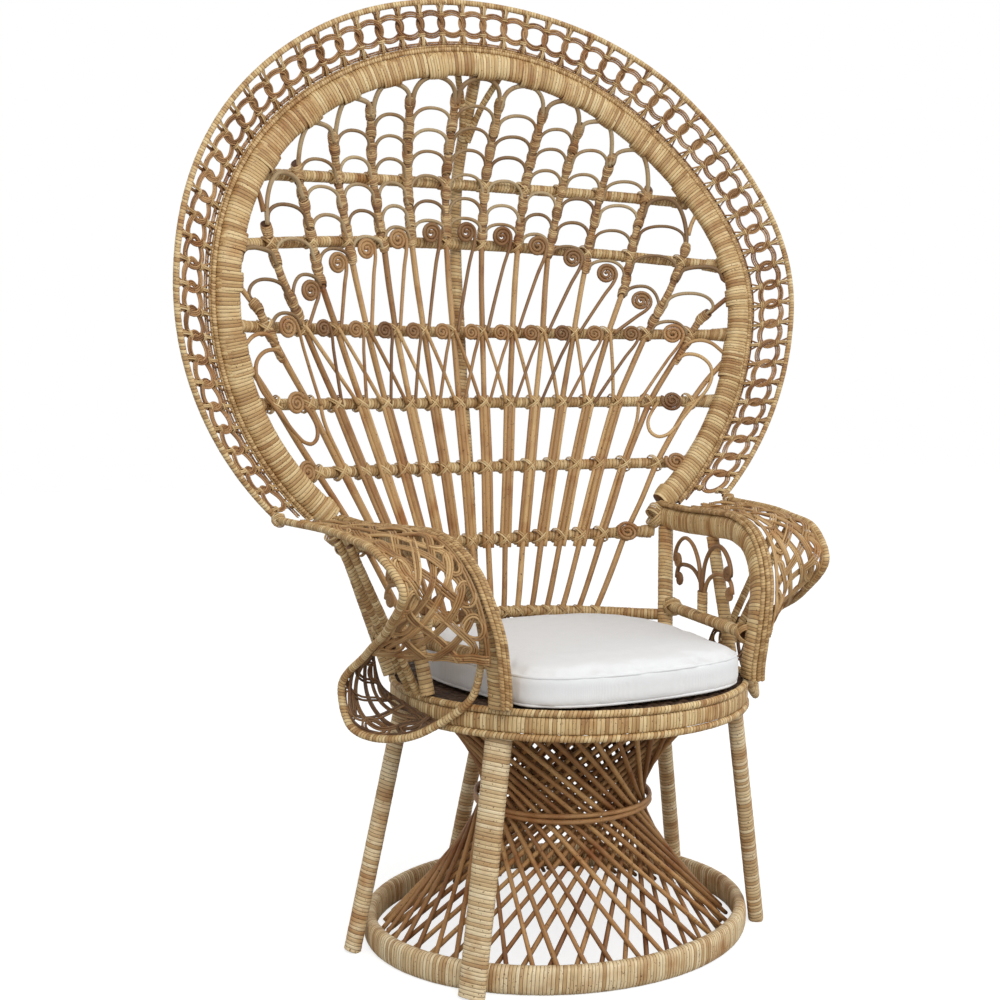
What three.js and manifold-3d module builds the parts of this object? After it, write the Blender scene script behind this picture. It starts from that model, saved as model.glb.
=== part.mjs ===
import * as THREE from 'three';
import { mergeVertices } from 'three/addons/utils/BufferGeometryUtils.js';
import Module from 'manifold-3d';

const wasm = await Module();
wasm.setup();

// Peacock chair of rattan, in millimetres, +Z up, facing -Y.
// Left and right are as seen from the front: left is -X.
// Plan angles are measured from straight ahead (-Y) towards +X.
const CLEARANCE = 0.3;
const FACET_SAG = 1.3;
const SQUARE_FLAT = Math.SQRT1_2;
const OCTAGON_FLAT = Math.cos(Math.PI / 8);

// Seat: a round frame with two rim canes, an apron between them and a deck on top.
const SEAT_RADIUS = 261;
const SEAT_HEIGHT = 395;
const RIM_CANE_RADIUS = 5;
const APRON_HEIGHT = 22.4;
const APRON_THICKNESS = 7;
const DECK_THICKNESS = 7;
const DECK_SINK = 9.4;
const SEAT_HOOP_RADIUS = 13;
const CUSHION_SIDE_INSET = 39;
const CUSHION_END_INSET = 31;
const CUSHION_FORWARD = 20;
const CUSHION_SIDE = 46;
const CUSHION_CROWN = 16;
const CUSHION_DRAW_IN = 6;
const CUSHION_FOOT_DRAW_IN = 16;
const PIPING_RADIUS = 4;

// Base: an oval wrapped ring, turned a little against the seat as on the photographed chair.
const BASE_HALF_WIDTH = 297;
const BASE_HALF_DEPTH = 262;
const BASE_CENTRE_BACK = 33;
const BASE_RING_HEIGHT = 40;
const BASE_RING_THICKNESS = 20;
const BASE_TWIST = THREE.MathUtils.degToRad(7);

// Legs.
const FRONT_LEG_WIDTH = 38;
const FRONT_LEG_DEPTH = 24;
const LEG_DIAMETER = 26;
const FRONT_LEG_ANGLE = THREE.MathUtils.degToRad(52);
const FRONT_FOOT_ANGLE = THREE.MathUtils.degToRad(55);
const SIDE_LEG_ANGLE = THREE.MathUtils.degToRad(113);
const SIDE_FOOT_ANGLE = THREE.MathUtils.degToRad(106);

// Hourglass of straight canes, bound at the waist.
const SEAT_HOOP_INSET = 54;
const WAIST_RADIUS = 130;
const WAIST_HEIGHT = 206;
const HOURGLASS_CANE_RADIUS = 4;
const HOURGLASS_CANES = 40;
const HOURGLASS_TURN = THREE.MathUtils.degToRad(58);
const FAMILY_STEP = 14;
const FAMILY_HOOP_HEIGHT = 4;
const WAIST_CANE_RADIUS = 5;

// Back: the main hoop, in the front view two half ellipses that meet at the widest height.
const HOOP_HALF_WIDTH = 449;
const HOOP_WIDEST_ABOVE_SEAT = 545;
const HOOP_UP = 385;
const HOOP_DOWN = 425;
const HOOP_BAND_WIDTH = 38;
const HOOP_BAND_DEPTH = 24;
const HOOP_SIDE_Y = 199;
const HOOP_TOP_Y = 278;
const HOOP_END_ANGLE = THREE.MathUtils.degToRad(139);

// Border outside the main hoop.
const BORDER_WIDTH = 85;
const BORDER_FOOT_WIDTH = 55;
const BORDER_LIFT = 10;
const BORDER_FLARE = 38;
const BORDER_END_ANGLE = THREE.MathUtils.degToRad(132);
const BORDER_CANE_RADIUS = 5.5;
const EDGE_CANE_RADIUS = 4.5;
const RING_COUNT = 62;
const RING_CANE_RADIUS = 3.4;

// Dished fan of the back.
const DISH_BOW = 72;
const LOWER_RAIL_ABOVE_SEAT = 47;
const LOWER_RAIL_END_INSET = 19;
const LOWER_RAIL_END_FORWARD = 131;
const STAKE_SPACING = 22.5;
const STAKE_SIDE_ROOM = 98;
const SCROLL_BAR_ABOVE_SEAT = 508;
const SCROLL_TOP_ABOVE_SEAT = 671;
const STAKE_PAIRS = 8;
const STAKE_RADIUS = 4.2;
const RIB_PAIRS = 7;
const RIB_HALF_WIDTH = 6;
const RIB_HALF_DEPTH = 3.8;
const CROSSBAR_RADIUS = 9;
const RAIL_RADIUS = 9.5;
const SPINE_RADIUS = 10;
const SPINE_BELOW_SEAT = 43;
const ARCH_CANE_RADIUS = 3.1;
const ARCH_PITCH = 36;
const ARCH_DROP = 4;
const SCROLL_RADIUS = 16.8;
const SCROLL_TURNS = 2;
const SCROLL_PITCH = 6.8;
const SCROLL_CANE_RADIUS = 3.1;
const SMALL_SCROLL_RADIUS = 11;

// Arms.
const ARM_ABOVE_SEAT = 203;
const ARM_BAND_WIDTH = 36;
const ARM_BAND_DEPTH = 20;
const ARM_BACK_X = 285;
const ARM_FOOT_ANGLE = THREE.MathUtils.degToRad(50);
const ARM_FOOT_OUT = 3.8;
const ARM_EDGE_RADIUS = 6;
const ARM_POST_RADIUS = 12.5;
const ARM_RAIL_ABOVE_SEAT = 63;
const STAY_RADIUS = 6.5;
const SIDE_POST_RADIUS = 10;
const WING_RIM_RADIUS = 6.5;
const WING_THICKNESS = 5;
const FLEUR_STEM_RADIUS = 7;
const FLEUR_CANE_RADIUS = 3.5;
const FLEUR_SCROLL_RADIUS = 10;

// Counts of facets and steps.
const ROUND_STEPS = 32;
const ROUND_SIDES = 6;
const CANE_SIDES = 5;
const HALF = 0.5;
const FACET_TOLERANCE = 0.2;

const STRAW = 0xd9bf8a;
const TAN = 0xb4824a;
const REDDISH = 0xbb8550;
const SCROLL_BROWN = 0xa9743c;
const DARK_DECK = 0x4a3a2c;
const COTTON = 0xf0efec;

const chair = new THREE.Group();

function toSolid(geometry) {
  const plain = geometry.clone();
  plain.deleteAttribute('normal');
  plain.deleteAttribute('uv');
  const merged = mergeVertices(plain, 1e-4);
  return new wasm.Manifold(new wasm.Mesh({
    numProp: 3,
    vertProperties: new Float32Array(merged.attributes.position.array),
    triVerts: new Uint32Array(merged.index.array),
  }));
}

function toGeometry(solid) {
  const mesh = solid.getMesh();
  const geometry = new THREE.BufferGeometry();
  geometry.setAttribute('position', new THREE.BufferAttribute(new Float32Array(mesh.vertProperties), 3));
  geometry.setIndex(new THREE.BufferAttribute(new Uint32Array(mesh.triVerts), 1));
  geometry.computeVertexNormals();
  return geometry;
}

function fused(geometries) {
  return toGeometry(wasm.Manifold.union(geometries.map(toSolid)).simplify(FACET_TOLERANCE));
}

function mirrored(geometry) {
  const copy = toGeometry(toSolid(geometry));
  copy.scale(-1, 1, 1);
  const index = copy.index.array;
  for (let i = 0; i < index.length; i += 3) {
    [index[i], index[i + 1]] = [index[i + 1], index[i]];
  }
  copy.computeVertexNormals();
  return copy;
}

function addPiece(name, geometry, color, roughness = 0.6) {
  const mesh = new THREE.Mesh(geometry, new THREE.MeshStandardMaterial({ color, roughness, metalness: 0 }));
  mesh.name = name;
  chair.add(mesh);
  return mesh;
}

function addPair(name, geometry, color) {
  addPiece(`${name}_right`, geometry, color);
  addPiece(`${name}_left`, mirrored(geometry), color);
}

function vec(x, y, z) {
  return new THREE.Vector3(x, y, z);
}

function curveThrough(points) {
  return new THREE.CatmullRomCurve3(points, false, 'centripetal');
}

function linesThrough(points) {
  const path = new THREE.CurvePath();
  for (let i = 1; i < points.length; i += 1) path.add(new THREE.LineCurve3(points[i - 1], points[i]));
  return path;
}

// A polygon with its corners on an ellipse, as the section of a cane or band.
function sectionShape(halfWidth, halfDepth, sides) {
  const corners = [];
  for (let i = 0; i < sides; i += 1) {
    const angle = (2 * Math.PI * (i + HALF)) / sides;
    corners.push(new THREE.Vector2(halfWidth * Math.cos(angle), halfDepth * Math.sin(angle)));
  }
  return new THREE.Shape(corners);
}

function tube(curve, radius, sides, steps, depthRadius = radius) {
  const shape = sectionShape(radius, depthRadius, sides);
  return new THREE.ExtrudeGeometry(shape, { steps, extrudePath: curve, bevelEnabled: false });
}

// A straight piece whose ends are both level, as a pole cut flat for the floor.
function strut(low, high, halfWidth, halfDepth, turn, sides) {
  const geometry = new THREE.CylinderGeometry(1, 1, 1, sides);
  geometry.rotateX(Math.PI / 2);
  const across = vec(Math.cos(turn), Math.sin(turn), 0).multiplyScalar(halfWidth);
  const through = vec(-Math.sin(turn), Math.cos(turn), 0).multiplyScalar(halfDepth);
  const along = high.clone().sub(low);
  const place = new THREE.Matrix4().makeBasis(across, through, along);
  place.setPosition(low.clone().add(high).multiplyScalar(HALF));
  return geometry.applyMatrix4(place);
}

// A ring turned about the vertical axis from a closed profile of [radius, height] pairs.
function turned(profile, segments = ROUND_STEPS) {
  const points = profile.map(([r, z]) => new THREE.Vector2(r, z));
  points.push(points[0].clone());
  return new THREE.LatheGeometry(points, segments).rotateX(Math.PI / 2);
}

function roundProfile(radius, height, sectionRadius, sides = ROUND_SIDES) {
  const profile = [];
  for (let i = 0; i < sides; i += 1) {
    const angle = (2 * Math.PI * (i + HALF)) / sides;
    profile.push([radius + sectionRadius * Math.cos(angle), height + sectionRadius * Math.sin(angle)]);
  }
  return profile;
}

function polar(radius, angle, z) {
  return vec(radius * Math.sin(angle), -radius * Math.cos(angle), z);
}

function onBaseOval(grow, angle, z) {
  return vec(
    (BASE_HALF_WIDTH + grow) * Math.sin(angle),
    BASE_CENTRE_BACK - (BASE_HALF_DEPTH + grow) * Math.cos(angle),
    z,
  );
}

function lookUp(table, at) {
  let i = 1;
  while (i < table.length - 1 && at > table[i][0]) i += 1;
  const [x0, y0] = table[i - 1];
  const [x1, y1] = table[i];
  return THREE.MathUtils.lerp(y0, y1, (at - x0) / (x1 - x0));
}

// Seat.
const rimUpperZ = SEAT_HEIGHT - RIM_CANE_RADIUS;
const rimLowerZ = rimUpperZ - 2 * RIM_CANE_RADIUS - APRON_HEIGHT - 2 * CLEARANCE;
const rimInner = SEAT_RADIUS - RIM_CANE_RADIUS;
const deckUnder = SEAT_HEIGHT - DECK_SINK;
const deckTop = deckUnder + DECK_THICKNESS;
const standOnRim = SEAT_HEIGHT + CLEARANCE;
const seatHoopRadius = SEAT_RADIUS - SEAT_HOOP_INSET;
const cushionHalfWidth = SEAT_RADIUS - CUSHION_SIDE_INSET;
const cushionHalfDepth = SEAT_RADIUS - CUSHION_END_INSET;

function addSeat() {
  addPiece('seat_rim_upper', turned(roundProfile(SEAT_RADIUS, rimUpperZ, RIM_CANE_RADIUS, CANE_SIDES)), STRAW);
  addPiece('seat_rim_lower', turned(roundProfile(SEAT_RADIUS, rimLowerZ, RIM_CANE_RADIUS, CANE_SIDES)), STRAW);

  const apronFoot = rimLowerZ + RIM_CANE_RADIUS + CLEARANCE;
  addPiece('seat_apron', turned([
    [rimInner, apronFoot],
    [rimInner + APRON_THICKNESS, apronFoot],
    [rimInner + APRON_THICKNESS, apronFoot + APRON_HEIGHT],
    [rimInner, apronFoot + APRON_HEIGHT],
  ]), STRAW);

  const deckRadius = rimInner - CLEARANCE;
  const deck = new THREE.CylinderGeometry(deckRadius, deckRadius, DECK_THICKNESS, ROUND_STEPS);
  deck.rotateX(Math.PI / 2).translate(0, 0, deckUnder + DECK_THICKNESS * HALF);
  addPiece('seat_deck', deck, DARK_DECK, 0.9);

  const hoopZ = deckUnder - CLEARANCE - SEAT_HOOP_RADIUS;
  addPiece('seat_hoop', turned(roundProfile(seatHoopRadius, hoopZ, SEAT_HOOP_RADIUS, CANE_SIDES)), TAN);
}

// The cushion's outline from the middle of its front to the middle of its back: as wide as
// the arms let it be, so its front corners are square and its back is round.
const cushionOutlineShares = [
  [0, -1], [0.28, -0.985], [0.54, -0.93], [0.73, -0.84], [0.825, -0.74], [0.86, -0.63], [0.89, -0.5],
  [0.925, -0.34], [0.962, -0.15], [0.988, 0.05], [0.985, 0.28], [0.94, 0.52], [0.84, 0.71], [0.67, 0.86],
  [0.44, 0.955], [0.2, 0.992], [0, 1],
];

function cushionOutline() {
  const right = cushionOutlineShares.map(([x, y]) => vec(cushionHalfWidth * x, cushionHalfDepth * y, 0));
  const left = right.slice(1, -1).reverse().map((point) => vec(-point.x, point.y, 0));
  return [...right, ...left];
}

// The cushion's side: flat under, piping, drawn-in side, piping, then the crown. Each pair is
// a draw-in from the outline and a height.
function addCushion() {
  const foot = deckTop + CLEARANCE;
  const shoulder = foot + CUSHION_SIDE;
  const rings = [
    [CUSHION_FOOT_DRAW_IN, foot],
    [0, foot + PIPING_RADIUS],
    [PIPING_RADIUS, foot + 2 * PIPING_RADIUS],
    [CUSHION_DRAW_IN, foot + CUSHION_SIDE * HALF],
    [PIPING_RADIUS, shoulder - 2 * PIPING_RADIUS],
    [0, shoulder - PIPING_RADIUS],
    [PIPING_RADIUS, shoulder],
  ];
  const crownShares = [0.9, 0.7, 0.45, 0.2, 0.04];
  for (const share of crownShares) {
    rings.push([cushionHalfWidth * (1 - share), shoulder + CUSHION_CROWN * (1 - share ** 4)]);
  }
  const outline = cushionOutline();
  const corners = [];
  for (const [drawIn, z] of rings) {
    const scale = 1 - drawIn / cushionHalfWidth;
    for (const point of outline) corners.push(vec(point.x * scale, point.y * scale - CUSHION_FORWARD, z));
  }
  addPiece('seat_cushion', loft(corners, outline.length), COTTON, 0.9);
}

// Base ring, an oval of one section all round, bevelled on the outside.
function addBaseRing() {
  const bevel = BASE_RING_THICKNESS / 4;
  const inner = BASE_HALF_WIDTH - BASE_RING_THICKNESS;
  const ring = turned([
    [inner, 0],
    [BASE_HALF_WIDTH - bevel, 0],
    [BASE_HALF_WIDTH, bevel],
    [BASE_HALF_WIDTH, BASE_RING_HEIGHT - bevel],
    [BASE_HALF_WIDTH - bevel, BASE_RING_HEIGHT],
    [inner, BASE_RING_HEIGHT],
  ]);
  ring.scale(1, BASE_HALF_DEPTH / BASE_HALF_WIDTH, 1).translate(0, BASE_CENTRE_BACK, 0);
  addPiece('base_ring', ring, STRAW);
}

// Each leg stands against the outside of the base ring and leans in to rest inside the
// lower rim. A flat leg keeps one heading, between those of the ring and the rim.
function addLeg(name, topAngle, footAngle, halfWidth, halfDepth) {
  const angle = footAngle + BASE_TWIST;
  const heading = Math.atan2(BASE_HALF_DEPTH * Math.sin(angle), BASE_HALF_WIDTH * Math.cos(angle));
  const turn = (heading + topAngle) * HALF;
  const spare = 2 * CLEARANCE + (halfWidth - halfDepth) * Math.abs(Math.sin(heading - turn));
  const contactZ = BASE_RING_HEIGHT * 0.9;
  const atBase = onBaseOval(halfDepth + spare, angle, contactZ);
  const atRim = polar(rimInner - spare - halfDepth, topAngle, rimLowerZ);
  const at = (z) => atBase.clone().lerp(atRim, (z - contactZ) / (rimLowerZ - contactZ));
  addPiece(name, strut(at(0), at(deckUnder - CLEARANCE), halfWidth, halfDepth, turn, 10), STRAW);
}

function addLegs() {
  const halfWidth = FRONT_LEG_WIDTH * HALF;
  const halfDepth = FRONT_LEG_DEPTH * HALF;
  const radius = LEG_DIAMETER * HALF;
  addLeg('leg_front_right', FRONT_LEG_ANGLE, FRONT_FOOT_ANGLE, halfWidth, halfDepth);
  addLeg('leg_front_left', -FRONT_LEG_ANGLE, -FRONT_FOOT_ANGLE, halfWidth, halfDepth);
  addLeg('leg_side_right', SIDE_LEG_ANGLE, SIDE_FOOT_ANGLE, radius, radius);
  addLeg('leg_side_left', -SIDE_LEG_ANGLE, -SIDE_FOOT_ANGLE, radius, radius);
  addLeg('leg_rear', Math.PI, Math.PI, radius, radius);
}

// A cane bent at its middle point, with level ends.
function bentCane(points, radius, sides) {
  const corners = [];
  for (const point of points) {
    for (let k = 0; k < sides; k += 1) {
      const angle = (2 * Math.PI * k) / sides;
      corners.push(point.clone().add(vec(radius * Math.cos(angle), radius * Math.sin(angle), 0)));
    }
  }
  return loft(corners, sides);
}

function levelCorners(point, halfWidth, halfDepth) {
  const turns = [[1, 1], [-1, 1], [-1, -1], [1, -1]];
  return turns.map(([out, back]) => point.clone().add(vec(out * halfWidth, back * halfDepth, 0)));
}

// Joins rings of corners, from the lowest up, into one closed solid.
function loft(corners, sides) {
  const last = corners.length - sides;
  const faces = [];
  for (let k = 1; k < sides - 1; k += 1) faces.push(0, k + 1, k, last, last + k, last + k + 1);
  for (let start = 0; start < last; start += sides) {
    for (let k = 0; k < sides; k += 1) {
      const a = start + k;
      const b = start + ((k + 1) % sides);
      faces.push(a, b, a + sides, b, b + sides, a + sides);
    }
  }
  const geometry = new THREE.BufferGeometry().setFromPoints(corners);
  geometry.setIndex(faces);
  return geometry;
}

// One family of hourglass canes, from inside the base ring to the waist and on to the
// flat hoop that they are bound to under the seat.
function hourglassFamily(step, direction) {
  const topZ = deckUnder - 2 * CLEARANCE - 2 * SEAT_HOOP_RADIUS;
  const hoopFoot = topZ - FAMILY_HOOP_HEIGHT;
  const wall = BASE_RING_THICKNESS + HOURGLASS_CANE_RADIUS + FACET_SAG + CLEARANCE;
  const radius = seatHoopRadius - step;
  const waistInner = WAIST_RADIUS - WAIST_CANE_RADIUS - HOURGLASS_CANE_RADIUS - FACET_SAG;
  const parts = [];
  for (let i = 0; i < HOURGLASS_CANES; i += 1) {
    const angle = (2 * Math.PI * i) / HOURGLASS_CANES;
    const top = polar(radius, angle - direction * HOURGLASS_TURN, topZ - CLEARANCE);
    const waist = polar(waistInner - step, angle, WAIST_HEIGHT);
    const foot = onBaseOval(-wall - step, angle + direction * HOURGLASS_TURN, CLEARANCE);
    waist.y += waistShift;
    parts.push(bentCane([foot, waist, top], HOURGLASS_CANE_RADIUS, 3));
  }
  parts.push(turned([
    [radius - HOURGLASS_CANE_RADIUS, hoopFoot],
    [radius + HOURGLASS_CANE_RADIUS, hoopFoot],
    [radius + HOURGLASS_CANE_RADIUS, topZ],
    [radius - HOURGLASS_CANE_RADIUS, topZ],
  ]));
  return fused(parts);
}

const waistShift = (BASE_CENTRE_BACK * (SEAT_HEIGHT - WAIST_HEIGHT)) / SEAT_HEIGHT;

function addHourglass() {
  addPiece('hourglass_canes_outer', hourglassFamily(0, 1), TAN);
  addPiece('hourglass_canes_inner', hourglassFamily(FAMILY_STEP, -1), TAN);

  const inner = WAIST_RADIUS - WAIST_CANE_RADIUS + CLEARANCE;
  const outer = WAIST_RADIUS + WAIST_CANE_RADIUS;
  const band = turned([
    [inner, WAIST_HEIGHT - WAIST_CANE_RADIUS],
    [outer, WAIST_HEIGHT - WAIST_CANE_RADIUS],
    [WAIST_RADIUS + WAIST_CANE_RADIUS * HALF, WAIST_HEIGHT],
    [outer, WAIST_HEIGHT + WAIST_CANE_RADIUS],
    [inner, WAIST_HEIGHT + WAIST_CANE_RADIUS],
  ]);
  addPiece('waist_band', band.translate(0, waistShift, 0), REDDISH);
}

// The back's guiding surface.
const hoopWidestZ = SEAT_HEIGHT + HOOP_WIDEST_ABOVE_SEAT;
const borderWidestZ = hoopWidestZ + BORDER_LIFT;
const lowerRailZ = SEAT_HEIGHT + LOWER_RAIL_ABOVE_SEAT;
const lowerRailEndX = SEAT_RADIUS - LOWER_RAIL_END_INSET;
const lowerRailEndY = SEAT_RADIUS - LOWER_RAIL_END_FORWARD;
const scrollBarZ = SEAT_HEIGHT + SCROLL_BAR_ABOVE_SEAT;
const scrollTopZ = SEAT_HEIGHT + SCROLL_TOP_ABOVE_SEAT;

function hoopReach(z, shrink = 0) {
  const half = (z > hoopWidestZ ? HOOP_UP : HOOP_DOWN) - shrink;
  const share = THREE.MathUtils.clamp((z - hoopWidestZ) / half, -1, 1);
  return (HOOP_HALF_WIDTH - shrink) * Math.sqrt(1 - share * share);
}

function hoopDepth(cosine) {
  const rise = Math.sin(Math.min(1.1 * Math.max(cosine, 0), 1) * Math.PI * HALF) ** 2;
  return HOOP_SIDE_Y + (HOOP_TOP_Y - HOOP_SIDE_Y) * rise;
}

function hoopPoint(angle, grow = 0) {
  const cosine = Math.cos(angle);
  const half = (cosine > 0 ? HOOP_UP : HOOP_DOWN) + grow;
  return vec((HOOP_HALF_WIDTH + grow) * Math.sin(angle), hoopDepth(cosine), hoopWidestZ + half * cosine);
}

function borderPoint(angle) {
  const cosine = Math.cos(angle);
  const half = cosine > 0 ? HOOP_UP + BORDER_WIDTH : HOOP_DOWN + BORDER_FOOT_WIDTH;
  const flare = Math.sin(Math.min(2 * Math.abs(angle), Math.PI * HALF)) ** 2;
  const y = hoopDepth(cosine) - BORDER_FLARE * flare;
  return vec((HOOP_HALF_WIDTH + BORDER_WIDTH) * Math.sin(angle), y, borderWidestZ + half * cosine);
}

const hoopTopZ = hoopWidestZ + HOOP_UP;
const hoopEnd = hoopPoint(HOOP_END_ANGLE);

// Depth of the fan on the centre line, as shares of the height and of the bow.
const bowShares = [
  [0, -0.08], [0.13, 0.19], [0.27, 0.37], [0.39, 0.6], [0.52, 0.8], [0.61, 0.94],
  [0.69, 1], [0.8, 0.93], [0.86, 0.7], [0.93, 0.33], [1, 0],
];

function centreDepth(z) {
  const share = (z - lowerRailZ) / (hoopTopZ - lowerRailZ);
  return HOOP_TOP_Y + DISH_BOW * lookUp(bowShares, share);
}

function sideOfBack(z) {
  if (z >= hoopEnd.z) {
    const half = z > hoopWidestZ ? HOOP_UP : HOOP_DOWN;
    return [hoopReach(z), hoopDepth((z - hoopWidestZ) / half)];
  }
  const share = (hoopEnd.z - z) / (hoopEnd.z - lowerRailZ);
  return [
    THREE.MathUtils.lerp(hoopEnd.x, lowerRailEndX, share),
    THREE.MathUtils.lerp(hoopEnd.y, lowerRailEndY, share),
  ];
}

function onDish(x, z, forward = 0) {
  const [reach, sideY] = sideOfBack(z);
  const middle = centreDepth(z);
  const out = reach > 0 ? Math.min(Math.abs(x) / reach, 1) : 0;
  return vec(x, middle - (middle - sideY) * out * out - forward, z);
}

// The outermost rib keeps its room from the hoop's widest place.
const stakeTopSpacing = (HOOP_HALF_WIDTH - STAKE_SIDE_ROOM) / (RIB_PAIRS - HALF);

function fanSpacing(z) {
  const slope = (stakeTopSpacing - STAKE_SPACING) / (scrollBarZ - lowerRailZ);
  return STAKE_SPACING + slope * (z - lowerRailZ);
}

const edgeGrow = HOOP_BAND_WIDTH * HALF * OCTAGON_FLAT + EDGE_CANE_RADIUS * SQUARE_FLAT + FACET_SAG;

function addHoops() {
  const hoopPath = [];
  const borderPath = [];
  const edgePath = [];
  const count = 28;
  for (let i = 0; i <= count; i += 1) {
    const share = (2 * i) / count - 1;
    hoopPath.push(hoopPoint(share * HOOP_END_ANGLE));
    borderPath.push(borderPoint(share * BORDER_END_ANGLE));
    edgePath.push(hoopPoint(share * BORDER_END_ANGLE, edgeGrow));
  }
  const hoop = tube(curveThrough(hoopPath), HOOP_BAND_DEPTH * HALF, 8, 38, HOOP_BAND_WIDTH * HALF);
  addPiece('main_hoop', hoop, STRAW);
  addPiece('hoop_edge_cane', tube(curveThrough(edgePath), EDGE_CANE_RADIUS, 4, 36), REDDISH);
  addPiece('border_hoop', tube(curveThrough(borderPath), BORDER_CANE_RADIUS, 4, 40), STRAW);
}

// The ring border: two canes that weave over and under each other, so that one ring
// lies between two crossings.
function addRingBorder() {
  const steps = RING_COUNT * 2;
  const lift = RING_CANE_RADIUS * 1.6;
  const wide = RING_CANE_RADIUS * 1.5;
  for (const [name, sign] of [['ring_border_1', 1], ['ring_border_2', -1]]) {
    const corners = [];
    for (let i = 0; i < steps; i += 1) {
      const share = (2 * i + 1) / steps - 1;
      const angle = share * BORDER_END_ANGLE;
      const inner = hoopPoint(angle, edgeGrow);
      const outer = borderPoint(angle);
      const width = inner.distanceTo(outer);
      const innerStop = (EDGE_CANE_RADIUS + wide + 2 * CLEARANCE) / width;
      const outerStop = 1 - (BORDER_CANE_RADIUS + wide + FACET_SAG * 1.4 + CLEARANCE) / width;
      const swing = sign * (i % 4 < 2 ? 1 : -1);
      const over = sign * ((i + 1) % 4 < 2 ? lift : -lift);
      const outward = outer.clone().sub(inner).normalize();
      const along = hoopPoint(angle + 1 / steps).sub(hoopPoint(angle - 1 / steps)).normalize();
      const through = along.cross(outward).normalize();
      const middle = inner.clone().lerp(outer, THREE.MathUtils.lerp(innerStop, outerStop, HALF + HALF * swing));
      middle.y += over;
      for (let k = 0; k < 3; k += 1) {
        const turn = (2 * Math.PI * (k + HALF)) / 3;
        corners.push(middle.clone()
          .addScaledVector(outward, wide * Math.cos(turn))
          .addScaledVector(through, RING_CANE_RADIUS * Math.sin(turn)));
      }
    }
    addPiece(name, loft(corners, 3), TAN);
  }
}

// Wrapped bars behind the fan: rise at the middle, then rise where they meet the hoop.
const crossbarsAboveSeat = [[751, 732], [654, 623], [508, 507], [391, 393], [285, 289], [165, 177]];
const crossbars = crossbarsAboveSeat.map((rises) => rises.map((rise) => SEAT_HEIGHT + rise));

const barFlat = CROSSBAR_RADIUS * SQUARE_FLAT;
const nearBack = barFlat + STAKE_RADIUS + 1.7 * FACET_SAG;
const hoopBack = barFlat + HOOP_BAND_DEPTH * HALF + FACET_SAG;

function addCrossbars() {
  crossbars.forEach(([middleZ, endZ], i) => {
    const end = sideOfBack(endZ)[0];
    const points = [];
    for (let k = -6; k <= 6; k += 1) {
      const out = k / 6;
      const z = THREE.MathUtils.lerp(middleZ, endZ, out * out);
      const endBack = i < 2 ? hoopBack : hoopBack - 1.9 * FACET_SAG;
      const back = THREE.MathUtils.lerp(nearBack, endBack, out * out);
      points.push(onDish(out * end, z, -back));
    }
    addPiece(`crossbar_${i + 1}`, tube(curveThrough(points), CROSSBAR_RADIUS, 4, 12), STRAW);
  });
}

function addSpine() {
  const behindBars = nearBack + barFlat + SPINE_RADIUS + 1.8 * FACET_SAG;
  const behindSeat = SEAT_RADIUS + RIM_CANE_RADIUS + SPINE_RADIUS - FACET_SAG + CLEARANCE;
  const behindHoop = HOOP_TOP_Y + HOOP_BAND_DEPTH * HALF + SPINE_RADIUS + CLEARANCE;
  const points = [vec(0, behindSeat, SEAT_HEIGHT - SPINE_BELOW_SEAT)];
  points.push(vec(0, behindSeat + CLEARANCE, SEAT_HEIGHT));
  const heights = [lowerRailZ, ...crossbars.map(([middleZ]) => middleZ).reverse()];
  for (const z of heights) points.push(vec(0, centreDepth(z) + behindBars, z));
  points.push(vec(0, behindHoop, hoopTopZ));
  addPiece('spine_post', tube(curveThrough(points), SPINE_RADIUS, ROUND_SIDES, 16), STRAW);
}

// The stakes fan out straight from the lower rail. Above bar 4 each one leans to the
// nearest rib foot, with a small scroll cane beside it.
function addStakeFan() {
  const parts = [];
  const barFourZ = crossbars[3][0];
  const railPath = [];
  for (let k = -8; k <= 8; k += 1) {
    railPath.push(onDish((k / 8) * (lowerRailEndX + 2 * CLEARANCE), lowerRailZ));
  }
  parts.push(tube(curveThrough(railPath), RAIL_RADIUS, ROUND_SIDES, 16));
  const stub = 2 * RAIL_RADIUS;
  const topZ = scrollBarZ - CLEARANCE;
  const ribOfStake = [0, 1, 2, 3, 3, 4, 5, 6];
  for (const side of [-1, 1]) {
    for (let k = 0; k < STAKE_PAIRS; k += 1) {
      const place = side * (k + HALF);
      const path = [lowerRailZ - stub, crossbars[5][0], crossbars[4][0], barFourZ]
        .map((z) => onDish(place * fanSpacing(z), z));
      path.push(onDish(side * (ribOfStake[k] + HALF) * fanSpacing(topZ), topZ));
      parts.push(bentCane(path, STAKE_RADIUS, 4));
      const stakeX = place * fanSpacing(barFourZ);
      const scrollX = side * (k + 1) * fanSpacing(topZ);
      const scrollZ = scrollBarZ - SMALL_SCROLL_RADIUS - 2 * CLEARANCE;
      if (k < RIB_PAIRS - 1) {
        parts.push(smallScroll(onDish(stakeX, barFourZ), scrollX, scrollZ));
      }
    }
  }
  const middleZ = scrollBarZ - SMALL_SCROLL_RADIUS - 2 * CLEARANCE;
  parts.push(smallScroll(onDish(HALF * fanSpacing(barFourZ), barFourZ), 0, middleZ));
  addPiece('stake_fan', fused(parts), TAN);
}

// A small scroll as one flat head on its stem.
const scrollHeadShares = [[-1, 0.3], [-0.45, 0.95], [0.45, 0.95], [1, 0.3]];

function smallScroll(foot, x, z) {
  const radius = ARCH_CANE_RADIUS;
  const corners = levelCorners(foot, radius, radius);
  for (const [up, wide] of scrollHeadShares) {
    const middle = onDish(x, z + up * SMALL_SCROLL_RADIUS);
    corners.push(...levelCorners(middle, wide * SMALL_SCROLL_RADIUS, radius));
  }
  return loft(corners, 4);
}

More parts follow.
